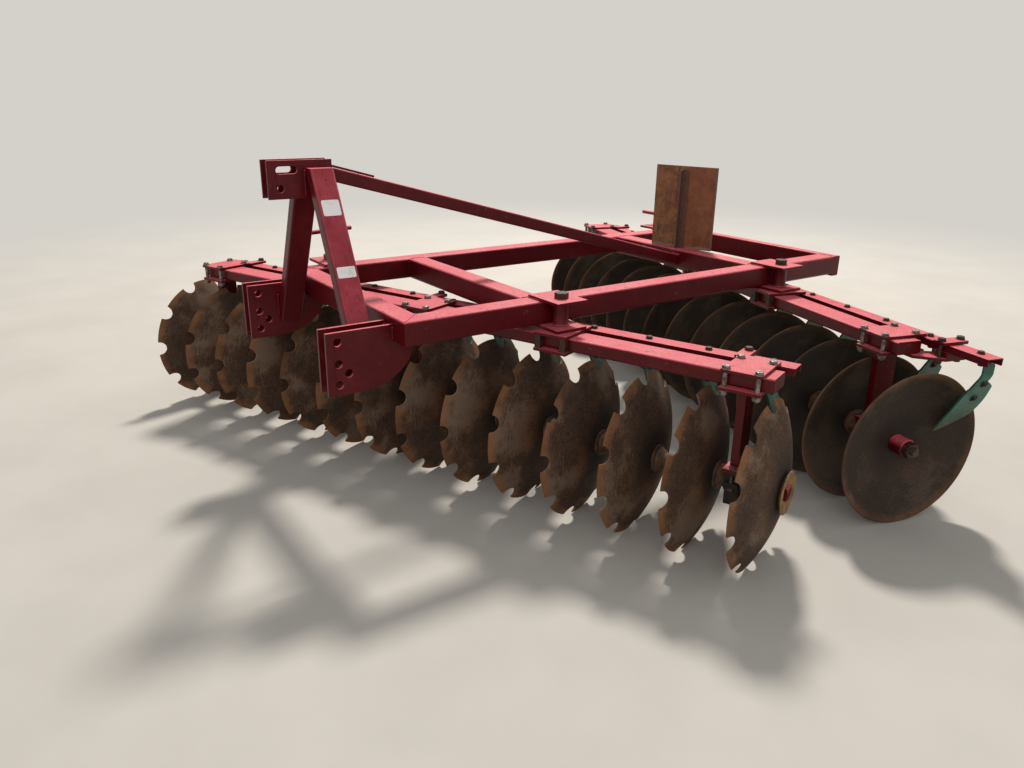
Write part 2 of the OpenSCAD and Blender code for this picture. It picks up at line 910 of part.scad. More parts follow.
// Places children at both ends of a gang with z pointing out of it; $hollow is
// true at the end where the dish opens outward
module at_ends(r) {
    in_row(r)
        for (out = [1, -1])
            translate([disc_u(r, out > 0 ? 0 : last), 0, disc_r])
                rotate([0, out * 90, 0])
                    translate([0, 0, out == rows[r][2] ? disc_t : 0]) {
                        $hollow = out == rows[r][2];
                        children();
                    }
}

module axle_bore() {
    translate([-axle / 2 - seat, -axle / 2 - seat, -1])
        cube([axle + 2 * seat, axle + 2 * seat, 2 * sleeve_l]);
}

// A sleeve where the dish opens outward, else a wide dished washer
module axle_ends(r) {
    color(zinc)
        at_ends(r)
            difference() {
                rotate_extrude()
                    polygon($hollow
                        ? [[0, 0], [sleeve_r, 0], [sleeve_r, sleeve_l - 4],
                           [sleeve_r - 4, sleeve_l], [0, sleeve_l]]
                        : [[0, 0], [hub_r - 8, 0], [washer_r, 13], [washer_r, 18],
                           [washer_r - 6, 20], [hub_r - 14, nut_seat], [0, nut_seat]]);
                axle_bore();
            }
}

module axle_nuts(r) {
    color(steel)
        at_ends(r)
            translate([0, 0, $hollow ? sleeve_l : nut_seat])
                difference() {
                    rotate([0, 0, 45])
                        cylinder(h = $hollow ? nut_h : head_h, r = nut_r, $fn = $hollow ? 6 : 4);
                    translate([0, 0, -weld])
                        cylinder(h = nut_h + 2 * weld, d = axle + 2 * seat);
                }
}

module front_axle_nuts() placed() axle_nuts(FRONT);
module rear_axle_nuts() placed() axle_nuts(REAR);
module front_axle_ends() placed() axle_ends(FRONT);
module rear_axle_ends() placed() axle_ends(REAR);

module mast_brace() placed() mast_brace_piece();
module brace_strap() placed() brace_strap_piece();
module board() placed() board_piece();
module board_angle() placed() board_angle_piece();

side_rail_left();
side_rail_right();
front_crossbar();
second_crossbar();
third_crossbar();
rear_crossbar();
hitch_plate_left_outer();
hitch_plate_left_inner();
hitch_plate_right_inner();
hitch_plate_right_outer();
head_plate_left();
head_plate_right();
mast_leg_left();
mast_leg_right();
mast_brace();
brace_strap();
post_front_left();
post_rear_left();
post_front_right();
post_rear_right();
pivot_bolt_front();
pivot_bolt_rear();
spindle_front();
spindle_rear();
board();
board_angle();
front_beam();
front_scraper_bar();
front_clamp_plates();
front_pivot_plates();
front_hanger_left();
front_hanger_middle();
front_hanger_right();
front_bearings();
front_scrapers();
rear_beam();
rear_scraper_bar();
rear_clamp_plates();
rear_pivot_plates();
rear_hanger_left();
rear_hanger_middle();
rear_hanger_right();
rear_bearings();
rear_scrapers();
rear_bar_splice();
front_discs();
front_axle();
front_spools();
front_axle_ends();
front_axle_nuts();
rear_discs();
rear_axle();
rear_spools();
rear_axle_ends();
rear_axle_nuts();
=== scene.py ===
"""Finish of the disc harrow: turned discs and spools, bent scrapers, bolts, welds
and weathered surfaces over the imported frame. Lengths are in metres. Machine places
are counted from the middle of the frame's front face, on the floor."""
import bpy
import numpy as np
from mathutils import Matrix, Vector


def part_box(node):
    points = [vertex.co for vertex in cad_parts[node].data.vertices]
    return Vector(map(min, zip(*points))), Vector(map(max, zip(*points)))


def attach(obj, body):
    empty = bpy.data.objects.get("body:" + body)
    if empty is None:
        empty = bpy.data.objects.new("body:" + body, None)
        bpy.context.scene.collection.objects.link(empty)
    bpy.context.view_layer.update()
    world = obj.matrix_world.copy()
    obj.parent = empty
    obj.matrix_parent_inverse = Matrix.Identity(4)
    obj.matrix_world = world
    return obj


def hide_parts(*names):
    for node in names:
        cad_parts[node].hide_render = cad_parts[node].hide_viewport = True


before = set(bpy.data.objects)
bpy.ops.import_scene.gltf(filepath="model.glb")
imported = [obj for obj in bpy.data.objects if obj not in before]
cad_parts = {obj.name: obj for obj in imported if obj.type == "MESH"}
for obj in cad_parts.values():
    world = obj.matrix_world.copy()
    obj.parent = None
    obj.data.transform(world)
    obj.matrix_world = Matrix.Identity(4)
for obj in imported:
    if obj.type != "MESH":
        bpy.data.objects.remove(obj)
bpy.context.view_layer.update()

# Where the middle of the frame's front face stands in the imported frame
FACE_LOW, FACE_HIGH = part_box("front_crossbar")
FRAME_FACE = np.array([(FACE_LOW[0] + FACE_HIGH[0]) / 2, FACE_LOW[1], 0.0])

# Sizes that the pieces share with the solids. A name that ends in U or V is a place
# along or across a row, and one that ends in X or Y a place on the machine.
FRAME_TOP = 0.818
FRAME_L = 2.410
TUBE = 0.090
PLATE = 0.012
RAIL_X = 0.540
RAIL_IN = RAIL_X - TUBE
SECOND_Y = 0.580
THIRD_Y = 1.865
REAR_W = 0.050
HITCH_X = 0.4125
FORK = 0.026
HEAD_PLATE = 0.010
HEAD_TOP = 1.315
MAST_FRONT = -0.121
MAST_BACK = -0.031
LEG_HALF = 0.025
POST_X = 0.575
POST_V = 0.020
POST_R = 0.030
PIVOT_SHIFT = 0.015
BEAM_TOP = FRAME_TOP - TUBE - 2 * PLATE
BEAM_LOW = BEAM_TOP - 0.050
CLAMP_LOW = BEAM_LOW - PLATE
BAR_LOW = BEAM_TOP - 0.028
BAR_V = 0.131
BAR_BACK = 0.174
SPLICE_U = 1.497
STRAP_T = 0.008
DISH_GAP = 0.014
DISC_R = 0.305
DISC_T = 0.006
DISH = 0.080
HUB_R = 0.056
BORE_R = 0.0225
PITCH = 0.230
DISCS = 14
NOTCHES = 10
NOTCH_R = 0.033
NOTCH_AT = DISC_R - 0.004
GROUND = 0.004
WAIST_R = 0.028
SLEEVE_L = 0.062
SLEEVE_R = 0.036
WASHER_R = 0.076
WASHER_T = 0.003
NUT_SEAT = 0.010
NUT_H = 0.026
SQUARE_H = 0.012
FOOT_TOP = DISC_R + 0.047 + PLATE
SPHERE = (DISC_R ** 2 + DISH ** 2) / (2 * DISH)
SPHERE_FLAT = np.sqrt(SPHERE ** 2 - HUB_R ** 2)


class Row:
    """One gang and its beam: where its middle is, how it is turned, which way its
    dishes open, and where its discs, hangers and scrapers stand along it."""

    def __init__(self, name, middle, degrees, opens, first, hangers, tongues, reach, scrapers):
        self.name = name
        self.gang = name + "_gang"
        self.origin = FRAME_FACE + (*middle, 0.0)
        self.angle = np.radians(degrees)
        c, s = np.cos(self.angle), np.sin(self.angle)
        self.turn = np.array([[c, -s, 0.0], [s, c, 0.0], [0.0, 0.0, 1.0]])
        self.opens = opens
        self.disc_u = first - PITCH * np.arange(DISCS)
        self.hangers = np.array(hangers)
        self.tongues = tongues
        self.reach = reach
        self.scraper_u = self.disc_u[:scrapers]
        self.post_u = (np.array([-POST_X, POST_X]) - middle[0] + POST_V * s) / c

    def world(self, points):
        """Row places (along, across, up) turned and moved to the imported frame."""
        return np.asarray(points, float) @ self.turn.T + self.origin

    def post_y(self, side):
        """How far behind the frame's front face the post on one side stands."""
        place = [[self.post_u[(side + 1) // 2], POST_V, 0.0]]
        return self.world(place)[0][1] - FRAME_FACE[1]


FRONT = Row("front", (0.022, 0.4035), 21.0, -1, 1.498, (1.338, -0.042, -1.375),
            (-1, -1, 1), 0.152, 13)
REAR = Row("rear", (-0.010, 2.0585), -16.25, 1, 1.455, (1.333, -0.030, -1.374),
           (0, -1, 1), 0.206, 14)
ROWS = (FRONT, REAR)


# Surfaces

class Form:
    """A closed surface: points, the corners of its faces in one row, and how many
    corners each face has."""

    def __init__(self, points, corners, counts):
        self.points, self.corners, self.counts = points, corners, counts

    def outward(self):
        """Turned so that its faces point outwards: six times the enclosed volume is
        the sum, over every face fanned from its first corner, of the triple products
        of the corners, and a negative sum turns every face round."""
        starts = np.concatenate([[0], np.cumsum(self.counts)[:-1]])
        fans = self.counts - 2
        face = np.repeat(np.arange(len(self.counts)), fans)
        step = np.arange(len(face)) - np.repeat(np.cumsum(fans) - fans, fans)
        a = self.points[self.corners[starts[face]]]
        b = self.points[self.corners[starts[face] + step + 1]]
        c = self.points[self.corners[starts[face] + step + 2]]
        a, b, c = (corner - self.points[0] for corner in (a, b, c))
        if np.einsum("ij,ij->", a, np.cross(b, c)) < 0:
            first = np.repeat(starts, self.counts)
            last = first + np.repeat(self.counts, self.counts) - 1
            self.corners = self.corners[first + last - np.arange(len(self.corners))]
        return self

    def copies(self, turns, moves):
        """One copy for each 3 by 3 turn and each move: turned points plus the move."""
        turns, moves = np.reshape(turns, (-1, 3, 3)), np.reshape(moves, (-1, 1, 3))
        points = np.einsum("kij,nj->kni", turns, self.points) + moves
        many = len(points)
        corners = self.corners + len(self.points) * np.arange(many)[:, None]
        return Form(points.reshape(-1, 3), corners.ravel(), np.tile(self.counts, many))

    def mapped(self, change):
        return Form(change(self.points), self.corners, self.counts)


def joined(forms):
    """Several surfaces as one: their points in a row, with the corners counted on."""
    offsets = np.cumsum([0] + [len(f.points) for f in forms[:-1]])
    return Form(np.concatenate([f.points for f in forms]),
                np.concatenate([f.corners + o for f, o in zip(forms, offsets)]),
                np.concatenate([f.counts for f in forms]))


def skin(rings, loop=False):
    """Rings of points joined by four-cornered faces. The ends are closed by one
    face each, or by a return to the first ring where loop is set."""
    count, around = rings.shape[:2]
    last = count if loop else count - 1
    i = np.arange(last)[:, None] * around
    j = np.arange(around)[None, :]
    after = (np.arange(last)[:, None] + 1) % count * around
    quads = np.stack([i + j, i + (j + 1) % around, after + (j + 1) % around, after + j], -1)
    corners, counts = quads.reshape(-1), np.full(last * around, 4)
    if not loop:
        corners = np.concatenate([corners, np.arange(around)[::-1],
                                  (count - 1) * around + np.arange(around)])
        counts = np.concatenate([counts, [around, around]])
    return Form(rings.reshape(-1, 3), corners, counts).outward()


def turned(profile, around=40, loop=False):
    """A profile of (radius, height) carried round the z axis: the point at angle t is
    (radius cos t, radius sin t, height)."""
    profile = np.asarray(profile, float)
    t = np.linspace(0, 2 * np.pi, around, endpoint=False)
    r, z = profile[:, :1], profile[:, 1:]
    return skin(np.stack([r * np.cos(t), r * np.sin(t), z + 0 * t], -1), loop)


def hexagon(flats, height, around=24, sides=6):
    """A bolt head or nut: its radius at angle t is half the width over flats divided
    by the cosine of the angle from the nearest flat's middle, and its top edge falls
    by half of what the radius is over the flats."""
    t = np.linspace(0, 2 * np.pi, around, endpoint=False)
    wedge = 2 * np.pi / sides
    radius = flats / 2 / np.cos((t + wedge / 2) % wedge - wedge / 2)
    over = radius - flats / 2
    crown = np.full(around, flats / 2 * 0.96)
    rings = [(radius - over * 0.5, 0.0 * t), (radius, over * 0.3), (radius, height - over * 0.5),
             (crown, height + 0 * t), (crown * 0.9, height + 0 * t)]
    return skin(np.stack([np.stack([r * np.cos(t), r * np.sin(t), z], -1) for r, z in rings]))


def resampled(path, step):
    """A path cut into even steps along its length."""
    path = np.asarray(path, float)
    far = np.concatenate([[0], np.cumsum(np.linalg.norm(np.diff(path, axis=0), axis=1))])
    along = np.linspace(0, far[-1], max(3, int(far[-1] / step) + 1))
    return np.stack([np.interp(along, far, path[:, k]) for k in range(3)], -1), along


def bead(path, radius, up, loop=False, ripple=0.007):
    """A weld bead: a round section carried along the path. Its radius grows by a sixth
    over each ripple and drops back, with a sine of seven hundredths added, and an open
    run's ends taper."""
    points, along = resampled(path, 0.0026)
    ahead = np.gradient(points, axis=0)
    ahead /= np.linalg.norm(ahead, axis=1)[:, None] + 1e-12
    side = np.cross(ahead, np.asarray(up, float))
    side /= np.linalg.norm(side, axis=1)[:, None] + 1e-12
    top = np.cross(side, ahead)
    swell = radius * (0.95 + 0.16 * (along / ripple % 1.0) ** 0.7 + 0.07 * np.sin(along * 211))
    if not loop:
        swell = swell * np.clip(np.minimum(along, along[-1] - along) / radius + 0.35, 0.3, 1)
    t = np.linspace(0, 2 * np.pi, 7, endpoint=False)
    c, s = np.cos(t)[None, :, None], np.sin(t)[None, :, None]
    return skin(points[:, None] + swell[:, None, None] * (c * side[:, None] + s * top[:, None]))


def about_z(t):
    """Turns of t radians about the z axis, one 3 by 3 each."""
    c, s, o = np.cos(t), np.sin(t), np.zeros_like(t)
    return np.stack([np.stack([c, -s, o], -1), np.stack([s, c, o], -1),
                     np.stack([o, o, o + 1], -1)], -2)


def along_x(sign):
    """The turn that lays the z axis along plus or minus x."""
    return np.array([[0.0, 0.0, sign], [0.0, 1.0, 0.0], [-sign, 0.0, 0.0]])


def places(u, v, z):
    """Places from distances along, across and up, each a list or one value for all."""
    spread = np.broadcast_arrays(*[np.asarray(a, float) for a in (u, v, z)])
    return np.stack(spread, -1).reshape(-1, 3)


def thread_profile(radius, start, end, pitch=0.0026):
    """A rod's outline with a thread: the radius rises and falls by half a millimetre
    once in each pitch, and its end is chamfered."""
    count = int((end - start) / pitch) * 2
    z = np.linspace(start, end - 0.003, count)
    r = radius + 0.0005 * (-1.0) ** np.arange(count)
    return np.concatenate([np.stack([r, z], -1), [[radius - 0.002, end]]])


UPRIGHT = np.eye(3)
HANGING = np.diag([1.0, -1.0, -1.0])
ROD = turned([[1.0, 0.0], [1.0, 1.0]], 16)


def piece(name, form, material, body, replaced=(), sharp=32):
    """Puts a form into a mesh, smooth but for edges over the sharp angle."""
    mesh = bpy.data.meshes.new(name)
    mesh.vertices.add(len(form.points))
    mesh.vertices.foreach_set("co", form.points.astype(np.float32).ravel())
    mesh.loops.add(len(form.corners))
    mesh.loops.foreach_set("vertex_index", form.corners.astype(np.int32))
    mesh.polygons.add(len(form.counts))
    starts = np.concatenate([[0], np.cumsum(form.counts)[:-1]])
    mesh.polygons.foreach_set("loop_start", starts.astype(np.int32))
    mesh.update(calc_edges=True)
    mesh.validate()
    mesh.shade_smooth()
    mesh.set_sharp_from_angle(angle=np.radians(sharp))
    mesh.materials.append(material)
    thing = bpy.data.objects.new(name, mesh)
    bpy.context.scene.collection.objects.link(thing)
    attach(thing, body)
    if replaced:
        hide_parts(*replaced)


def row_piece(row, name, forms, material, body="frame", node="", sharp=32):
    """Joins forms made in a row's own places and puts them in under the row's name."""
    nodes = (row.name + node,) if node else ()
    piece(row.name + name, joined(forms).mapped(row.world), material, body, nodes, sharp)


def soften(thing, width):
    """Joins corners that lie together and rounds the edges that turn by more than
    40 degrees."""
    thing.modifiers.new("joined_corners", "WELD").merge_threshold = 0.00002
    edge = thing.modifiers.new("rounded_edges", "BEVEL")
    edge.width = width
    edge.segments = 2
    edge.limit_method = "ANGLE"
    edge.angle_limit = np.radians(40)
    edge.use_clamp_overlap = True


# Shader tools

class Value:
    """A socket whose arithmetic adds Math nodes to the tree that it is in."""

    def __init__(self, owner, socket):
        self.owner, self.socket = owner, socket

    def _math(self, operation, *values):
        return self.owner.node("ShaderNodeMath", {"operation": operation}, values)

    def __add__(self, other): return self._math("ADD", self, other)
    def __radd__(self, other): return self._math("ADD", other, self)
    def __sub__(self, other): return self._math("SUBTRACT", self, other)
    def __rsub__(self, other): return self._math("SUBTRACT", other, self)
    def __mul__(self, other): return self._math("MULTIPLY", self, other)
    def __rmul__(self, other): return self._math("MULTIPLY", other, self)
    def __truediv__(self, other): return self._math("DIVIDE", self, other)
    def __rtruediv__(self, other): return self._math("DIVIDE", other, self)
    def most(self, other): return self._math("MAXIMUM", self, other)
    def root(self): return self._math("SQRT", self)
    def size(self): return self._math("ABSOLUTE", self)
    def wave(self): return self._math("SINE", self)

    def ramp(self, low, high, start=0.0, end=1.0):
        """Smoothly from start to end as the value goes from low to high."""
        return self.owner.node("ShaderNodeMapRange",
                              {"interpolation_type": "SMOOTHSTEP", "clamp": True},
                              (self, low, high, start, end))


def linear(*rgb):
    """An 8 bit display colour as the linear colour that a shader takes."""
    c = np.array(rgb) / 255.0
    c = np.where(c <= 0.04045, c / 12.92, ((c + 0.055) / 1.055) ** 2.4)
    return (*[float(v) for v in c], 1.0)


class Nodes:
    """A node tree, and the one method that adds nodes to it."""

    def __init__(self, tree):
        self.tree = tree

    def fill(self, made, values):
        """Gives sockets, by order or name, a link or a value."""
        for key, value in values.items():
            if isinstance(value, Value):
                self.tree.links.new(value.socket, made.inputs[key])
            else:
                made.inputs[key].default_value = value

    def node(self, kind, settings, values, out=0):
        """Adds a node, sets its settings and fills its sockets."""
        made = self.tree.nodes.new(kind)
        for key, value in settings.items():
            setattr(made, key, value)
        self.fill(made, values if isinstance(values, dict) else dict(enumerate(values)))
        return Value(self, made.outputs[out]) if len(made.outputs) else None

    def direct_sight(self):
        """One for rays that come from the camera, a mirror or clear glass."""
        camera_ray, mirror_ray, glass_ray = (
            self.node("ShaderNodeLightPath", {}, {}, "Is " + kind + " Ray")
            for kind in ("Camera", "Glossy", "Transmission"))
        return camera_ray.most(mirror_ray).most(glass_ray)


class Finish(Nodes):
    """One material, with the few node recipes that this machine's finishes share."""

    def __init__(self, name):
        self.material = bpy.data.materials.new(name)
        self.material.use_nodes = True
        super().__init__(self.material.node_tree)
        self.shader = self.tree.nodes["Principled BSDF"]
        self.place = self.node("ShaderNodeTexCoord", {}, {}, "Object")
        self.facing = self.node("ShaderNodeTexCoord", {}, {}, "Normal")

    def noise(self, scale, detail=4.0, rough=0.6, at=None, warp=0.0):
        return self.node("ShaderNodeTexNoise", {}, {
            "Vector": at or self.place, "Scale": scale, "Detail": detail,
            "Roughness": rough, "Distortion": warp})

    def cells(self, scale, at=None):
        return self.node("ShaderNodeTexVoronoi", {},
                         {"Vector": at or self.place, "Scale": scale}, "Distance")

    def stretched(self, scale):
        """Object places stretched by a share for each axis."""
        return self.node("ShaderNodeMapping", {"vector_type": "POINT"},
                         {"Vector": self.place, "Scale": scale})

    def turned_back(self, vector, angle):
        return self.node("ShaderNodeVectorRotate", {"rotation_type": "Z_AXIS"},
                         {"Vector": vector, "Angle": -float(angle)})

    def about(self, middle, angle):
        """Object places counted from a middle and turned back about z by an angle."""
        moved = self.node("ShaderNodeVectorMath", {"operation": "SUBTRACT"},
                          {0: self.place, 1: tuple(float(v) for v in middle)})
        return self.turned_back(moved, angle)

    def part(self, vector, axis):
        return self.node("ShaderNodeSeparateXYZ", {}, (vector,), axis)

    def blend(self, amount, a, b):
        """Colour a, going over to colour b as the amount goes from nought to one."""
        return self.node("ShaderNodeMix", {"data_type": "RGBA", "clamp_factor": True},
                         {0: amount, 6: a, 7: b}, 2)

    def bump(self, height, strength, distance):
        return self.node("ShaderNodeBump", {}, {
            "Height": height, "Strength": strength, "Distance": distance})

    def paint(self, **sockets):
        """Fills the shader's sockets, named in small letters with low lines."""
        self.fill(self.shader, {key.replace("_", " ").title().replace("Ior", "IOR"): value
                                for key, value in sockets.items()})
        return self.material


# Finishes

def faded_red(name, dust=1.0, wear=1.0):
    """Old red enamel: chalky pink where it faces the sky and deep red under, partly sun-faded
    paint and partly painted light, the tops painted lit and the sides painted in shade;
    chipped to brown rust in spots, with pale dust in the low places of a fine grain."""
    f = Finish(name)
    up = f.part(f.facing, "Z").ramp(-0.1, 0.95)
    cloud = f.noise(7.0, 5.0, 0.62)
    streak = f.noise(1.0, 4.0, 0.6, f.stretched((60.0, 60.0, 9.0)))
    fine = f.noise(260.0, 3.0, 0.6)
    # Painted light: faces towards the sky are painted pale, partly sun fade and partly a painted
    # highlight, and the sides keep a deep red that is painted shade.
    chalk_and_painted_light = (up * 0.62 + cloud * 0.42 - 0.20).ramp(0.0, 0.62)
    body = f.blend(chalk_and_painted_light, linear(78, 6, 13), linear(190, 70, 84))
    body = f.blend(streak.ramp(0.52, 0.78, 0.0, 0.5), body, linear(84, 10, 18))
    powder = (up * cloud * fine.ramp(0.35, 0.7)).ramp(0.15, 0.6, 0.0, 0.42 * dust)
    body = f.blend(powder, body, linear(205, 188, 172))
    spots = f.noise(34.0, 6.0, 0.72, warp=0.6)
    flakes = f.cells(48.0)
    worn = spots + (0.5 - flakes) * 0.16
    chip = worn.ramp(0.665, 0.70, 0.0, wear)
    ring = worn.ramp(0.625, 0.67, 0.0, 0.45 * wear)
    rust = f.blend(fine, linear(70, 40, 26), linear(122, 72, 42))
    body = f.blend(ring, body, linear(112, 40, 30))
    body = f.blend(chip, body, rust)
    grain = f.bump(fine * 0.4 + streak * 0.6 - chip * 0.9, 0.35, 0.0012)
    return f.paint(base_color=body, specular_ior_level=0.24, normal=grain,
                   roughness=0.36 + chalk_and_painted_light * 0.16 + chip * 0.3 + powder * 0.3)


def disc_steel(row, earth, speckles, bare, rim, worn, rim_share):
    """Rusted rolled steel: brown with fine dark and orange speckles, scoured in rings
    by the soil, dark with old grease near the middle, and a patchy rust band at the
    rim. Distance from the axle is the root of the squares of the two places across it,
    and the rings read noise at that distance and at the place's direction."""
    f = Finish(row.name + "_disc_steel")
    at = f.about((row.origin[0], row.origin[1], DISC_R), row.angle)
    x, y, z = (f.part(at, a) for a in "XYZ")
    out = (y * y + z * z).root().most(0.01)
    ring = f.noise(1.0, 4.0, 0.65, f.node("ShaderNodeCombineXYZ", {}, (
        out * 150.0 + x * 3.0, y / out * 6.0, z / out * 6.0)))
    speck = f.noise(330.0, 4.0, 0.8, at)
    grit = f.noise(240.0, 5.0, 0.85, at)
    blotch = f.noise(21.0, 7.0, 0.78, at, 0.6)
    patch = f.noise(5.0, 3.0, 0.55, at)
    pits = f.cells(210.0, at)
    body = f.blend((blotch * 0.82 + ring * 0.18).ramp(0.38, 0.62), earth[0], earth[1])
    body = f.blend((speck * 0.8 + blotch * 0.2).ramp(0.50, 0.55, 0.0, 0.9), body, speckles[0])
    body = f.blend((grit * 0.7 + patch * 0.3).ramp(0.52, 0.56, 0.0, 0.85), body, speckles[1])
    body = f.blend(pits.ramp(0.0, 0.35, 0.5, 0.0), body, linear(30, 21, 17))
    scour = (out.ramp(0.10, 0.24) * (ring * 0.25 + patch * 0.75).ramp(0.48, 0.60)) * worn
    body = f.blend(scour, body, bare)
    band = (out + (blotch - 0.5) * 0.06).ramp(0.268, 0.296, 0.0, rim_share)
    body = f.blend(band * (speck * 0.4 + patch * 0.6).ramp(0.38, 0.56, 0.25, 1.0), body, rim)
    grease = (out + (patch - 0.5) * 0.06).ramp(0.075, 0.15, 0.75, 0.0)
    body = f.blend(grease, body, linear(34, 25, 21))
    height = speck * 0.4 + grit * 0.5 + ring * 0.1 - pits.ramp(0.0, 0.3, 0.5, 0.0)
    return f.paint(base_color=body, metallic=0.12, specular_ior_level=0.35,
                   roughness=0.66 + speck * 0.2 - scour * 0.2,
                   normal=f.bump(height, 0.6, 0.0014))


def cast_iron(name, dark, light):
    """Sand-cast iron with a rust bloom and a coarse sand grain."""
    f = Finish(name)
    grain = f.noise(330.0, 4.0, 0.7)
    bloom = f.noise(19.0, 5.0, 0.6, warp=0.5)
    body = f.blend(bloom.ramp(0.36, 0.66), dark, light)
    body = f.blend(grain.ramp(0.5, 0.7, 0.0, 0.5), body, linear(34, 25, 21))
    return f.paint(base_color=body, roughness=0.66 + grain * 0.22, metallic=0.25,
                   normal=f.bump(grain, 0.55, 0.0012))


def bolt_steel(name, face, stain, metal, amount):
    """Bolt steel: a thin plating or oil film with stains that creep out of the noise."""
    f = Finish(name)
    grain = f.noise(520.0, 3.0, 0.6)
    creep = f.noise(70.0, 5.0, 0.7)
    stained = creep.ramp(0.5 - amount * 0.2, 0.72 - amount * 0.2)
    body = f.blend(stained, face, stain)
    return f.paint(base_color=body, metallic=metal, roughness=0.34 + stained * 0.38 + grain * 0.12,
                   normal=f.bump(grain + stained * 0.5, 0.25, 0.0006))


def teal_enamel():
    """Thin teal paint on flat steel, rubbed to grey metal where soil slides over it and
    rusting along the rubs. The rub grows towards the blades' tips, by height."""
    f = Finish("teal_scraper_paint")
    z = f.part(f.place, "Z")
    cloud = f.noise(16.0, 5.0, 0.65)
    drag = f.noise(1.0, 5.0, 0.7, f.stretched((150.0, 150.0, 22.0)))
    fine = f.noise(380.0, 3.0, 0.6)
    body = f.blend(cloud.ramp(0.35, 0.7), linear(11, 70, 55), linear(24, 98, 79))
    rub = drag + z.ramp(0.35, 0.52, 0.17, 0.0)
    rubbed = rub.ramp(0.66, 0.78, 0.0, 0.8)
    edge = rub.ramp(0.60, 0.68, 0.0, 0.7)
    body = f.blend(edge, body, linear(92, 66, 44))
    body = f.blend(rubbed, body, linear(126, 118, 108))
    dust = f.part(f.facing, "Z").ramp(0.2, 1.0) * cloud.ramp(0.3, 0.7, 0.05, 0.3)
    body = f.blend(dust, body, linear(186, 176, 160))
    return f.paint(base_color=body, metallic=rubbed * 0.5,
                   normal=f.bump(fine * 0.4 - edge, 0.3, 0.0008),
                   roughness=0.44 + edge * 0.25 + fine * 0.1)


def dull_yellow():
    """Passivated zinc gone dull: yellow over grey, browned in blooms."""
    f = Finish("dull_yellow_plating")
    cloud = f.noise(26.0, 5.0, 0.65)
    fine = f.noise(420.0, 3.0, 0.6)
    body = f.blend(cloud.ramp(0.35, 0.68), linear(150, 120, 80), linear(112, 80, 50))
    body = f.blend(fine.ramp(0.55, 0.7, 0.0, 0.4), body, linear(74, 50, 36))
    return f.paint(base_color=body, metallic=0.45, roughness=0.5 + fine * 0.2,
                   normal=f.bump(fine, 0.3, 0.0008))


def weathered_ply(middle, turn):
    """Film-faced plywood gone orange brown: mottled clouds, darker stains that run down it,
    pale scuffs, a little redder to one side, washed grey in patches and painted pale along
    its foot as a painted highlight, with ply layers on its edges."""
    f = Finish("weathered_plywood")
    at = f.about(middle, turn)
    x, y, z = (f.part(at, a) for a in "XYZ")

    def streaks(scale, detail, warp):
        drawn = f.node("ShaderNodeVectorMath", {"operation": "MULTIPLY"}, {0: at, 1: scale})
        return f.noise(1.0, detail, 0.7, drawn, warp)

    cloud = f.noise(16.0, 6.0, 0.72, at, 0.8)
    fine = f.noise(150.0, 4.0, 0.7, at)
    runs = streaks((21.0, 20.0, 6.0), 6.0, 0.6)
    scuff = streaks((60.0, 60.0, 24.0), 5.0, 1.6)
    body = f.blend(cloud.ramp(0.34, 0.66), linear(142, 92, 50), linear(98, 61, 36))
    body = f.blend((runs * 0.8 + fine * 0.2).ramp(0.49, 0.64, 0.0, 0.85), body, linear(62, 42, 32))
    body = f.blend(x.ramp(-0.01, 0.03, 0.0, 0.5), body, linear(118, 60, 34))
    body = f.blend(scuff.ramp(0.62, 0.70, 0.0, 0.4), body, linear(172, 126, 82))
    # Grey wash in random patches, and a painted highlight along the lowest three centimetres of
    # the board.
    wash_and_painted_highlight = (cloud + z.ramp(0.0, 0.03, 0.4, 0.0)).ramp(0.70, 0.86, 0.0, 0.7)
    body = f.blend(wash_and_painted_highlight, body, linear(132, 120, 106))
    layer = (y * 1100.0).wave().ramp(-0.3, 0.3)
    side = f.part(f.turned_back(f.facing, turn), "Y").size().ramp(0.5, 0.7, 1.0, 0.0)
    body = f.blend(side, body, f.blend(layer, linear(112, 84, 56), linear(66, 46, 30)))
    return f.paint(base_color=body, roughness=0.6 + wash_and_painted_highlight * 0.25,
                   normal=f.bump(fine * 0.5 + scuff * 0.5, 0.25, 0.001))


def blank_label():
    """Aged white vinyl with yellowed clouds."""
    f = Finish("aged_white_vinyl")
    cloud = f.noise(30.0, 4.0, 0.6)
    body = f.blend(cloud.ramp(0.5, 0.85), linear(238, 238, 236), linear(206, 200, 188))
    return f.paint(base_color=body, roughness=0.5, normal=f.bump(cloud, 0.1, 0.0004))


def pale_floor():
    """Pale smooth ground that turns into an even pale backdrop far from the machine."""
    f = Finish("pale_ground")
    x, y = (f.part(f.place, a) for a in "XY")
    away = (x * x + y * y).root().ramp(3.6, 10.0)
    cloud = f.noise(1.4, 4.0, 0.6)
    tone = f.blend(cloud.ramp(0.3, 0.7), linear(177, 172, 164), linear(183, 178, 170))
    f.paint(base_color=tone, roughness=0.9, specular_ior_level=0.1)
    glow = f.node("ShaderNodeEmission", {}, {"Color": BACKDROP, "Strength": 1.0})
    mixed = f.node("ShaderNodeMixShader", {}, (
        f.direct_sight() * away, Value(f, f.shader.outputs[0]), glow))
    f.tree.links.new(mixed.socket, f.tree.nodes["Material Output"].inputs["Surface"])
    return f.material


BACKDROP = linear(212, 209, 203)
RED = faded_red("faded_red_enamel")
RED_WELD = faded_red("faded_red_welds", dust=0.6, wear=1.25)
FRONT_STEEL = disc_steel(FRONT, (linear(58, 43, 34), linear(92, 70, 54)),
                         (linear(28, 20, 16), linear(136, 88, 50)),
                         linear(118, 102, 88), linear(138, 90, 54), 0.7, 0.7)
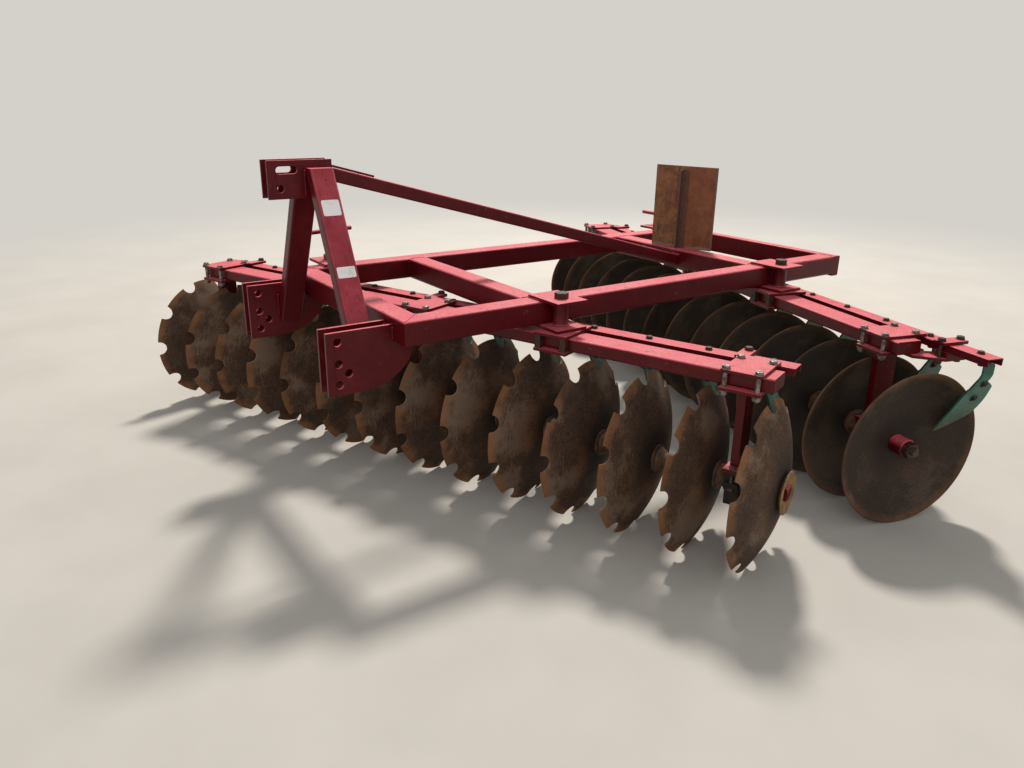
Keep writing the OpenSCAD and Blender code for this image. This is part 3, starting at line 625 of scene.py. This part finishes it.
# The rear row's steel is a darker copy of the front's: its darker tones are painted shade.
REAR_STEEL = disc_steel(REAR, (linear(45, 36, 30), linear(62, 49, 39)),
                        (linear(29, 23, 20), linear(84, 60, 41)),
                        linear(80, 70, 62), linear(116, 78, 50), 0.4, 0.55)
SPOOL_IRON = cast_iron("rusted_spool_iron", linear(64, 44, 34), linear(104, 76, 56))
BLOCK_IRON = cast_iron("dark_bearing_iron", linear(38, 31, 28), linear(66, 50, 40))
DARK_BOLT = bolt_steel("dark_oiled_bolts", linear(42, 35, 32), linear(78, 50, 34), 0.4, 0.5)
BRIGHT_BOLT = bolt_steel("silvery_studs", linear(138, 132, 126), linear(84, 64, 50), 0.75, 0.35)
AXLE_STEEL = bolt_steel("rusty_axle_bar", linear(84, 64, 50), linear(58, 42, 34), 0.4, 0.6)
ANGLE_STEEL = bolt_steel("rusty_angle_steel", linear(92, 78, 74), linear(104, 66, 46), 0.35, 0.6)
TEAL = teal_enamel()
YELLOW = dull_yellow()
LABEL = blank_label()
BOARD_TURN = np.radians(16.0)
BOARD_MIDDLE = FRAME_FACE + (-0.026, THIRD_Y + 0.007, FRAME_TOP)
PLY = weathered_ply(BOARD_MIDDLE, BOARD_TURN)


# Discs, spools and axle ends

def dish_height(q):
    """Height of the dish over its flat middle: the flat's depth in the sphere less
    the depth at distance q from the axle."""
    return SPHERE_FLAT - np.sqrt(SPHERE ** 2 - np.maximum(q, HUB_R) ** 2)


def rim_outline(notched):
    """Angle and distance of the rim, and how far its edge is ground. A notch is a circle
    about a point near the rim: at angle t from its middle the cut reaches in to c cos t
    less the root of the notch's radius squared less c squared sin squared t."""
    if not notched:
        around = 120
        t = np.linspace(0, 2 * np.pi, around, endpoint=False)
        return t, np.full(around, DISC_R), np.full(around, GROUND)
    in_cut, in_tooth = 13, 9
    edge = np.arcsin(NOTCH_R / NOTCH_AT)
    cut = edge * np.sin(np.linspace(-np.pi / 2, np.pi / 2, in_cut))
    reach = np.maximum(NOTCH_R ** 2 - (NOTCH_AT * np.sin(cut)) ** 2, 0)
    depth = NOTCH_AT * np.cos(cut) - np.sqrt(reach)
    wedge = 2 * np.pi / NOTCHES
    tooth = np.linspace(edge * 1.012, wedge - edge * 1.012, in_tooth)
    r = np.concatenate([depth, np.full(in_tooth, DISC_R)])
    ground = np.concatenate([np.full(in_cut, GROUND / 5), np.full(in_tooth, GROUND)])
    turns = (wedge * np.arange(NOTCHES))[:, None]
    t = (np.concatenate([cut, tooth]) + turns).ravel()
    return t, np.tile(r, NOTCHES), np.tile(ground, NOTCHES)


def disc(notched):
    """A dish: rings from the bore out along the convex face to the rim and back in
    along the hollow face, each a share of the way from the bore to the outline."""
    t, rim, ground = rim_outline(notched)
    share = np.concatenate([[0.0, 0.118], np.linspace(0.16, 0.97, 9), [1.0]])[:, None]
    low_r = BORE_R + (rim - BORE_R) * share
    top_r = BORE_R + (rim - ground - BORE_R) * share[::-1]
    sides = [np.stack([r * np.cos(t), r * np.sin(t), dish_height(r) + lift], -1)
             for r, lift in ((low_r, 0.0), (top_r, DISC_T))]
    return skin(np.concatenate(sides), loop=True)


def disc_row(row, notched, material):
    """Fourteen discs, each a quarter turn on from the last on the square axle."""
    turns = along_x(row.opens) @ about_z((DISCS - np.arange(DISCS)) * np.pi / 2)
    form = disc(notched).copies(turns, places(row.disc_u, 0, DISC_R))
    row_piece(row, "_disc_set", [form], material, row.gang, "_discs", 26)


def spool_profile(length):
    """Half of a casting's outline and its mirror image: a flat flange, then its
    shoulder and a fillet, each in a quarter of a circle or oval, down to the waist."""
    a = np.linspace(0, np.pi / 2, 6)
    flange, fall = 0.052, 0.024
    half = np.concatenate([
        [[BORE_R, 0.0002], [flange - 0.002, 0.0002], [flange, 0.002], [flange, 0.009]],
        np.stack([flange - 0.002 - 0.010 * np.sin(a), 0.010 + 0.010 * (1 - np.cos(a))], -1),
        np.stack([WAIST_R + fall * (1 - np.sin(a)) * 0.55, 0.021 + 0.016 * np.sin(a)], -1),
        [[WAIST_R, 0.045]]])
    mirrored = np.stack([half[::-1, 0], length - half[::-1, 1]], -1)
    return np.concatenate([half, mirrored])


def spool_row(row):
    """A spool in each gap between two discs, from the back of one to the next."""
    base = row.disc_u[1:] if row.opens > 0 else row.disc_u[:-1]
    casting = turned(spool_profile(PITCH - DISC_T), 36, loop=True)
    form = casting.copies(along_x(row.opens), places(base + row.opens * DISC_T, 0, DISC_R))
    row_piece(row, "_spool_castings", [form], SPOOL_IRON, row.gang, "_spools", 40)


def axle_end_parts(row):
    """The sleeve and hexagon nut where the dish opens outward, and the dished washer
    and flush square head at the other end, with the axle's threaded stub."""
    hollow, flat = row.opens, -row.opens
    outermost = {1: row.disc_u[0], -1: row.disc_u[-1]}
    sleeve = turned([[BORE_R, 0], [SLEEVE_R - 0.001, 0], [SLEEVE_R, 0.001],
                     [SLEEVE_R, SLEEVE_L - 0.004], [SLEEVE_R - 0.004, SLEEVE_L],
                     [BORE_R, SLEEVE_L]], 48, loop=True)
    a = np.linspace(0, 1, 9)
    foot_r, mouth_r, lip_z = 0.048, 0.038, 0.0195
    under = np.stack([foot_r + (WASHER_R - foot_r) * a, 0.0130 * a ** 1.6], -1)
    over = np.stack([WASHER_R - 0.002 - (WASHER_R - mouth_r) * a,
                     lip_z - (lip_z - NUT_SEAT) * np.sin(a * np.pi / 2)], -1)
    washer = turned(np.concatenate([[[BORE_R, 0.0]], under, [[WASHER_R + 0.0005, 0.016]],
                                    over, [[BORE_R, NUT_SEAT]]]), 64, loop=True)
    past_sleeve = DISC_T + SLEEVE_L
    parts = [
        ("_end_sleeve", sleeve, hollow, DISC_T, RED, "red_paint", "_axle_ends"),
        ("_end_washer", washer, flat, 0.0, YELLOW, "zinc", "_axle_ends"),
        ("_hex_nut", hexagon(0.054, NUT_H), hollow, past_sleeve, DARK_BOLT, "dark_steel",
         "_axle_nuts"),
        ("_square_nut", hexagon(0.045, SQUARE_H, sides=4), flat, NUT_SEAT, RED, "red_paint",
         "_axle_nuts"),
        ("_sleeve_stub", turned(thread_profile(0.0148, 0.0, NUT_H + 0.014), 32), hollow,
         past_sleeve, DARK_BOLT, "dark_steel", "")]
    for name, form, way, out, material, slot, node in parts:
        at = places(outermost[way] + way * out, 0, DISC_R)
        row_piece(row, name, [form.copies(along_x(way), at)], material, row.gang, node)


# Scrapers

def blade_back(face, height):
    """Where a blade's back edge keeps its gap to the dish: the distance behind the axle
    is the root of the sphere's radius squared less the face's depth in the sphere
    squared less the height over the axle squared."""
    depth = SPHERE_FLAT - (face - DISC_T - DISH_GAP)
    return np.sqrt(np.maximum(SPHERE ** 2 - depth ** 2 - (height - DISC_R) ** 2, 0))


def quarter_sine(along, start, length):
    """Rises from nought to one over a length, as the first quarter of a sine."""
    return np.sin(np.clip((along - start) / length, 0, 1) * np.pi / 2)


def scraper(reach):
    """One bent strap and blade. The path runs along the foot, down through a bend and
    in along the slope, and at each step the section is a thin rounded bar from the front
    edge to the back edge. The back edge swells in two quarter sines, then follows the
    dish."""
    strap_v0, strap_v1, neck_v, blade_v = 0.127, 0.177, 0.227, 0.249
    blade_v0, tip_v, tip_z = 0.123, 0.133, 0.350
    neck, curve, curve_end = 0.078, 0.150, 0.180
    face = reach - STRAP_T
    bend_z = BAR_LOW - 0.052
    tip_u = DISC_T + dish_height(np.hypot(tip_v, tip_z - DISC_R)) + DISH_GAP
    slope = np.arctan2(face - tip_u, bend_z - tip_z)
    run = np.hypot(face - tip_u, bend_z - tip_z)
    drop = np.concatenate([np.linspace(0.012, 0.030, 3), np.linspace(0.036, neck, 8),
                           np.linspace(0.09, 0.176, 6), np.linspace(curve_end, run - 0.002, 16)])
    low = face - drop * np.sin(slope)
    high = bend_z - drop * np.cos(slope)
    wide = (strap_v1 + (neck_v - strap_v1) * quarter_sine(drop, 0.030, 0.044)
            + (blade_v - neck_v) * quarter_sine(drop, 0.074, 0.10))
    back = np.where(drop > curve, np.minimum(wide, blade_back(low, high)), wide)
    full = blade_back(face - curve_end * np.sin(slope), bend_z - curve_end * np.cos(slope))
    eased = np.minimum(back, np.interp(drop, [curve, curve_end], [blade_v, full]))
    back = np.where(drop < curve_end, eased, back)
    tapered = blade_v0 + (tip_v - blade_v0) * np.clip((drop - neck) / (run - neck), 0, 1)
    front = np.where(drop < neck, strap_v0, tapered)
    back = np.maximum(back, front + 0.001)
    half = STRAP_T / 2
    a = np.linspace(0, np.pi / 2, 5)
    path_u = np.concatenate([[reach - 0.058, reach - 0.030, reach - 0.018],
                             reach - 0.014 + 0.010 * np.sin(a), np.full(3, reach - half),
                             low + half * np.cos(slope)])
    path_z = np.concatenate([np.full(3, BAR_LOW - half),
                             BAR_LOW - half - 0.010 * (1 - np.cos(a)),
                             np.linspace(BAR_LOW - 0.018, bend_z + 0.008, 3),
                             high + half * np.sin(slope)])
    strap = np.ones(len(path_u) - len(drop))
    v0 = np.concatenate([strap_v0 * strap, front])
    v1 = np.concatenate([strap_v1 * strap, back])
    du, dz = np.gradient(path_u), np.gradient(path_z)
    length = np.hypot(du, dz)
    nu, nz = -dz / length, du / length
    round_off = 0.0012
    ease = np.minimum(round_off, (v1 - v0) / 4)
    flank = half - round_off
    section = [(v0, flank), (v0 + ease, half), (v1 - ease, half), (v1, flank),
               (v1, -flank), (v1 - ease, -half), (v0 + ease, -half), (v0, -flank)]
    rings = [np.stack([path_u + nu * off, v, path_z + nz * off], -1) for v, off in section]
    return skin(np.stack(rings, 1)), slope, face, bend_z


def scraper_row(row):
    """The row's scrapers and their bolts: one through the foot and the bar, and two
    through each blade, square to its slope."""
    form, slope, face, bend_z = scraper(row.reach)
    flip = np.diag([float(row.opens), 1.0, 1.0])
    moves = places(row.scraper_u, 0, 0)
    many = form.copies(flip, moves).outward()
    row_piece(row, "_scraper_set", [many], TEAL, node="_scrapers", sharp=35)
    washer_t = 0.0025
    head = bolt_head(0.020, 0.008, 0.014, washer_t, 24)
    u = row.scraper_u + row.opens * (row.reach - 0.030)
    heads = [head.copies(UPRIGHT, places(u, BAR_V, BEAM_TOP + washer_t)),
             head.copies(HANGING, places(u, BAR_V + 0.012, BAR_LOW - STRAP_T - washer_t))]
    out = np.array([np.cos(slope), 0.0, np.sin(slope)])
    side = np.array([0.0, 1.0, 0.0])
    for v, drop in ((0.166, 0.041), (0.181, 0.123)):
        middle = np.array([face - drop * np.sin(slope), v, bend_z - drop * np.cos(slope)])
        for axis, off in ((out, STRAP_T), (-out, 0.0)):
            turn = np.stack([np.cross(side, axis), side, axis], -1)
            at = middle + out * off + axis * washer_t
            heads.append(head.copies(flip @ turn, flip @ at + moves).outward())
    row_piece(row, "_scraper_bolts", heads, DARK_BOLT)


# Bolts, studs and welds

def bolt_head(flats, height, washer_r, washer_t=WASHER_T, around=28):
    """A hexagon head over its washer, which reaches down to minus its thickness."""
    return joined([hexagon(flats, height),
                   turned([[washer_r, -washer_t], [washer_r, 0.0]], around)])


def shank(u, v, low, high, radius=0.0080):
    """Plain rods between two heights, each the unit rod stretched to its size."""
    at = places(u, v, low)
    stretch = np.zeros((len(at), 3, 3))
    stretch[:, 0, 0] = stretch[:, 1, 1] = radius
    stretch[:, 2, 2] = high - at[:, 2]
    return ROD.copies(stretch, at)


def four_about(middles, along, across):
    """The distances along and across of four corners about each middle."""
    return np.add.outer(middles, [-along, along])[..., None], np.array([-across, across])


def clamp_studs(row):
    """Four studs to each hanger clamp, with washers and hexagon heads over the top
    plate and nuts and short thread ends under the bottom plate."""
    u, v = four_about(row.hangers, 0.055, 0.071)
    head = bolt_head(0.024, 0.009, 0.0165)
    nut = joined([bolt_head(0.024, 0.012, 0.0165),
                  turned(thread_profile(0.0076, 0.010, 0.018), 20)])
    row_piece(row, "_hanger_studs", [
        head.copies(UPRIGHT, places(u, v, BEAM_TOP + PLATE + WASHER_T)),
        shank(u, v, CLAMP_LOW + 0.001, BEAM_TOP + 0.002),
        nut.copies(HANGING, places(u, v, CLAMP_LOW - WASHER_T))], BRIGHT_BOLT)


def square_bar(side, ease):
    """A square section's outline, its corners cut back by the ease."""
    h, c = side / 2, side / 2 - ease
    return np.array([[h, -c], [h, c], [c, h], [-c, h], [-h, c], [-h, -c], [-c, -h], [c, -h]])


def pivot_bars(row):
    """Four dark square bars to each pivot clamp, between its two plates, in front of
    and behind the beam: an eased square carried up from plate to plate."""
    outline = square_bar(0.024, 0.0015)
    ends = (CLAMP_LOW + PLATE - 0.001, BEAM_TOP + 0.001)
    rings = np.stack([places(outline[:, 0], outline[:, 1], z) for z in ends])
    u, v = four_about(row.post_u + PIVOT_SHIFT * np.array([-1, 1]), 0.054, 0.069)
    row_piece(row, "_pivot_bars", [skin(rings).copies(UPRIGHT, places(u, v, 0))], DARK_BOLT)


def tongue_bolts(row):
    """The bolt behind the scraper bar at each tongue, down through the clip under the
    bar, and the splice's bolts, down through its bracket."""
    splice_front = 0.087
    at = [(u + side * 0.063, BAR_BACK, BAR_LOW - PLATE)
          for u, side in zip(row.hangers, row.tongues) if side]
    if row is REAR:
        at += [(SPLICE_U, v, CLAMP_LOW) for v in (splice_front, BAR_BACK)]
    u, v, low = np.array(at).T
    head = bolt_head(0.024, 0.009, 0.0155)
    row_piece(row, "_bar_bolts", [
        head.copies(UPRIGHT, places(u, v, BEAM_TOP + PLATE + WASHER_T)),
        shank(u, v, low, BEAM_TOP + 0.002),
        head.copies(HANGING, places(u, v, low - WASHER_T))], DARK_BOLT)


def bearing_bolts(row):
    """Two bolts down through each foot plate, and nuts under the block's flange."""
    head = bolt_head(0.018, 0.009, 0.0098, 0.002, 24)
    u, v = row.hangers[:, None], np.array([-0.056, 0.056])
    row_piece(row, "_bearing_bolts", [
        head.copies(UPRIGHT, places(u, v, FOOT_TOP + 0.002)),
        shank(u, v, DISC_R + 0.008, FOOT_TOP - 0.011, 0.0058),
        head.copies(HANGING, places(u, v, DISC_R - 0.011))], BRIGHT_BOLT)


def frame_welds():
    """Beads where crossbars meet rails, plates meet rails, the mast meets the hitch
    plates and the brace meets its crossbar."""
    top, low = FRAME_TOP, FRAME_TOP - TUBE
    up, across, along = (0, 0, 1), (1, 0, 0), (0, 1, 0)
    beads = []

    def seam(start, end, radius, facing):
        beads.append(bead([start, end], radius, facing))

    rear = FRAME_L - REAR_W
    seat_half, seat_out = 0.070, RAIL_X - 0.008
    for side in (-1, 1):
        inner = side * RAIL_IN
        seam([side * (RAIL_X - 0.006), 0.006, top - 0.0004],
             [side * (RAIL_IN + 0.004), TUBE - 0.004, top - 0.0004], 0.0030, up)
        seam([side * (RAIL_X - 0.010), rear, top - 0.0004],
             [side * (RAIL_IN + 0.006), rear, top - 0.0004], 0.0034, up)
        seam([inner, rear, top - 0.010], [inner, rear, low + 0.010], 0.0040, across)
        for y in (SECOND_Y, THIRD_Y):
            seam([inner, y - 0.036, top - 0.001], [inner, y + 0.036, top - 0.001], 0.0038, up)
            for edge in (y - TUBE / 2, y + TUBE / 2):
                seam([inner, edge, top - 0.012], [inner, edge, low + 0.012], 0.0042, across)
        for row in ROWS:
            y = row.post_y(side)
            for z, seat_in in ((top + 0.0012, 0.459), (low - 0.0012, 0.505)):
                seam([side * seat_in, y - seat_half + 0.004, z],
                     [side * seat_in, y + seat_half - 0.004, z], 0.0040, up)
                for edge in (y - seat_half, y + seat_half):
                    seam([side * (seat_in + 0.004), edge, z], [side * seat_out, edge, z],
                         0.0036, up)
            t = np.linspace(0, 2 * np.pi, 40)
            for z in (top - 0.002, low + 0.002):
                ring = places(side * POST_X + POST_R * np.cos(t), y + POST_R * np.sin(t), z)
                beads.append(bead(ring, 0.0038, up, loop=True))
        for middle in (-FORK - PLATE / 2, FORK + PLATE / 2):
            for face in (-PLATE / 2, PLATE / 2):
                x = side * HITCH_X + middle + face
                seam([x, -0.0012, low + 0.008], [x, -0.0012, top - 0.036], 0.0036, across)
        foot_x = side * (HITCH_X - FORK - PLATE - 0.0005)
        for y in (MAST_FRONT, MAST_BACK):
            seam([foot_x, y, 0.655], [foot_x, y, 0.745], 0.0036, across)
        head_x = side * (FORK + HEAD_PLATE + 0.001)
        seam([head_x, MAST_FRONT, HEAD_TOP - 0.125], [head_x, MAST_FRONT, HEAD_TOP - 0.035],
             0.0036, across)
    face, strap = THIRD_Y - TUBE / 2 - 0.0012, 0.025
    z0, z1 = top - TUBE / 2 + 0.010, top - TUBE / 2 + 0.021
    beads.append(bead([[-strap, face, z0], [-strap, face, z1], [strap, face, z1],
                       [strap, face, z0]], 0.0036, along))
    piece("frame_weld_beads", joined(beads).mapped(lambda p: p + FRAME_FACE), RED_WELD,
          "frame")


def hanger_welds(row):
    """Beads round each hanger's post under its clamp plate and over its foot."""
    half_u, half_v = 0.0285 / 2, 0.0905 / 2
    u = half_u * np.array([-1, 1, 1, -1, -1])
    v = half_v * np.array([-1, -1, 1, 1, -1])
    beads = [bead(places(middle + u, v, z), 0.0042, (0, 0, 1), loop=True)
             for middle in row.hangers for z in (CLAMP_LOW - 0.001, FOOT_TOP + 0.001)]
    row_piece(row, "_hanger_welds", beads, RED_WELD)


def labels():
    """Two blank vinyl labels on the left mast leg's outer face: thin sheets that lean
    with it, their outline a superellipse of power 16."""
    top = np.array([FORK + HEAD_PLATE + LEG_HALF, HEAD_TOP - 0.028])
    foot = np.array([HITCH_X - FORK - PLATE - LEG_HALF, 0.700])
    leg_y = (MAST_FRONT + MAST_BACK) / 2
    lean = foot - top
    length = np.linalg.norm(lean)
    lean = lean / length
    out = np.array([-lean[1], lean[0]])
    t = np.linspace(0, 2 * np.pi, 48, endpoint=False)
    c, s = np.cos(t), np.sin(t)
    shape = (np.abs(c) ** 16 + np.abs(s) ** 16) ** (-1 / 16)
    forms = []
    for share, tall, wide in ((0.24, 0.058, 0.066), (0.60, 0.040, 0.068)):
        middle = top + lean * length * share
        rings = []
        for size, lift in ((0.2, 0.0001), (1.0, 0.0001), (1.0, 0.0008), (0.2, 0.0008)):
            a = size * shape * s * tall / 2
            b = size * shape * c * wide / 2
            face = middle + lean * a[:, None] + out * (LEG_HALF + lift)
            rings.append(places(face[:, 0], leg_y + b, face[:, 1]))
        forms.append(skin(np.stack(rings)))
    piece("mast_leg_labels", joined(forms).mapped(lambda p: p + FRAME_FACE), LABEL, "frame")


def spindle_threads():
    """The threads of the two spindles over their nuts: a turned rod whose outline
    rises and falls once in each pitch."""
    root_r = 0.0140
    for row, rise in ((FRONT, 0.140), (REAR, 0.080)):
        start = FRAME_TOP + PLATE + 0.022
        end = FRAME_TOP + rise - 0.012
        z = np.arange(start, end, 0.002)
        r = 0.0153 + 0.0007 * (-1.0) ** np.arange(len(z))
        rod = turned(np.concatenate([[[root_r, start - 0.001]], np.stack([r, z], -1),
                                     [[root_r, end + 0.001]]]), 40)
        at = FRAME_FACE + (-POST_X, row.post_y(-1), 0.0)
        piece(row.name + "_spindle_thread", rod.copies(UPRIGHT, at), DARK_BOLT, "frame")


for row, notched, steel in ((FRONT, True, FRONT_STEEL), (REAR, False, REAR_STEEL)):
    disc_row(row, notched, steel)
    spool_row(row)
    axle_end_parts(row)
    scraper_row(row)
    clamp_studs(row)
    pivot_bars(row)
    tongue_bolts(row)
    bearing_bolts(row)
    hanger_welds(row)
frame_welds()
labels()
spindle_threads()


# Finishes and softened edges of the carried-over nodes

def finish_of(name):
    """The finish of a node, by what the node is."""
    if name == "board":
        return PLY
    if name == "board_angle":
        return ANGLE_STEEL
    if name.endswith("_axle"):
        return AXLE_STEEL
    if "bearings" in name:
        return BLOCK_IRON
    if name.startswith("pivot_bolt"):
        return DARK_BOLT
    return RED


for name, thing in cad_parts.items():
    finish = finish_of(name)
    if not thing.material_slots:
        thing.data.materials.append(finish)
    for slot in thing.material_slots:
        slot.material = finish
    if not thing.hide_render and name != "board":
        soften(thing, 0.0014)


# Stage, light and camera

def floor():
    """A wide flat sheet of four faces, a fifth of a millimetre under the discs."""
    t = np.linspace(-45.0, 45.0, 3)
    x, y = np.meshgrid(t, t, indexing="ij")
    i = np.array([0, 1, 3, 4])
    faces = np.stack([i, i + 3, i + 4, i + 1], -1)
    mesh = bpy.data.meshes.new("ground")
    mesh.from_pydata(places(x, y, -0.0002).tolist(), [], faces.tolist())
    mesh.materials.append(pale_floor())
    ground = bpy.data.objects.new("ground", mesh)
    bpy.context.scene.collection.objects.link(ground)


def stand(thing, right, up, back, at):
    """Puts a lamp or camera into the scene, with its three axes and its place."""
    bpy.context.scene.collection.objects.link(thing)
    matrix = np.eye(4)
    matrix[:3] = np.stack([right, up, back, at], -1)
    thing.matrix_world = Matrix(matrix.tolist())


def lamp(name, at, target, size, power, tint):
    """An area lamp at a place, turned to face a target."""
    light = bpy.data.lights.new(name, "AREA")
    light.shape = "DISK"
    light.size = size
    light.energy = power
    light.color = tint
    at, target = np.array(at), np.array(target)
    back = (at - target) / np.linalg.norm(at - target)
    right = np.cross([0, 0, 1.0], back)
    right /= np.linalg.norm(right)
    stand(bpy.data.objects.new(name, light), right, np.cross(back, right), back, at)


def surroundings():
    """Even pale light all round, and the backdrop's colour where it is seen."""
    world = bpy.data.worlds.new("soft_room")
    bpy.context.scene.world = world
    world.use_nodes = True
    world.node_tree.nodes.clear()
    n = Nodes(world.node_tree)
    soft = n.node("ShaderNodeBackground", {}, {"Color": (0.97, 0.98, 1.0, 1.0), "Strength": 0.52})
    pale = n.node("ShaderNodeBackground", {}, {"Color": BACKDROP, "Strength": 1.0})
    mixed = n.node("ShaderNodeMixShader", {}, (n.direct_sight(), soft, pale))
    n.node("ShaderNodeOutputWorld", {}, {"Surface": mixed})


def camera():
    """The photograph's view: its place, turn, fall and roll, and the lens that gives its
    focal length in picture points on a picture 1024 points wide."""
    yaw, fall, roll = np.radians([55.28, 19.69, 0.874])
    ahead = np.array([-np.sin(yaw) * np.cos(fall), np.cos(yaw) * np.cos(fall), -np.sin(fall)])
    level = np.array([np.cos(yaw), np.sin(yaw), 0.0])
    over = np.cross(level, ahead)
    right = np.cos(roll) * level + np.sin(roll) * over
    up = -np.sin(roll) * level + np.cos(roll) * over
    lens = bpy.data.cameras.new("photo_camera")
    lens.sensor_fit = "HORIZONTAL"
    lens.sensor_width = 36.0
    lens.lens = 801.96 / 1024 * lens.sensor_width
    lens.clip_end = 200.0
    thing = bpy.data.objects.new("photo_camera", lens)
    stand(thing, right, up, -ahead, FRAME_FACE + (2.8803, -1.1790, 1.5346))
    bpy.context.scene.camera = thing


floor()
surroundings()
camera()
lamp("high_key", (-6.4, 5.8, 12.6), (0.0, -0.2, 0.4), 2.2, 2900.0, (1.0, 0.96, 0.90))
lamp("camera_fill", (5.0, -4.5, 4.0), (0.3, 0.0, 0.5), 4.0, 95.0, (1.0, 0.99, 0.97))
bpy.context.scene.view_settings.view_transform = "Standard"
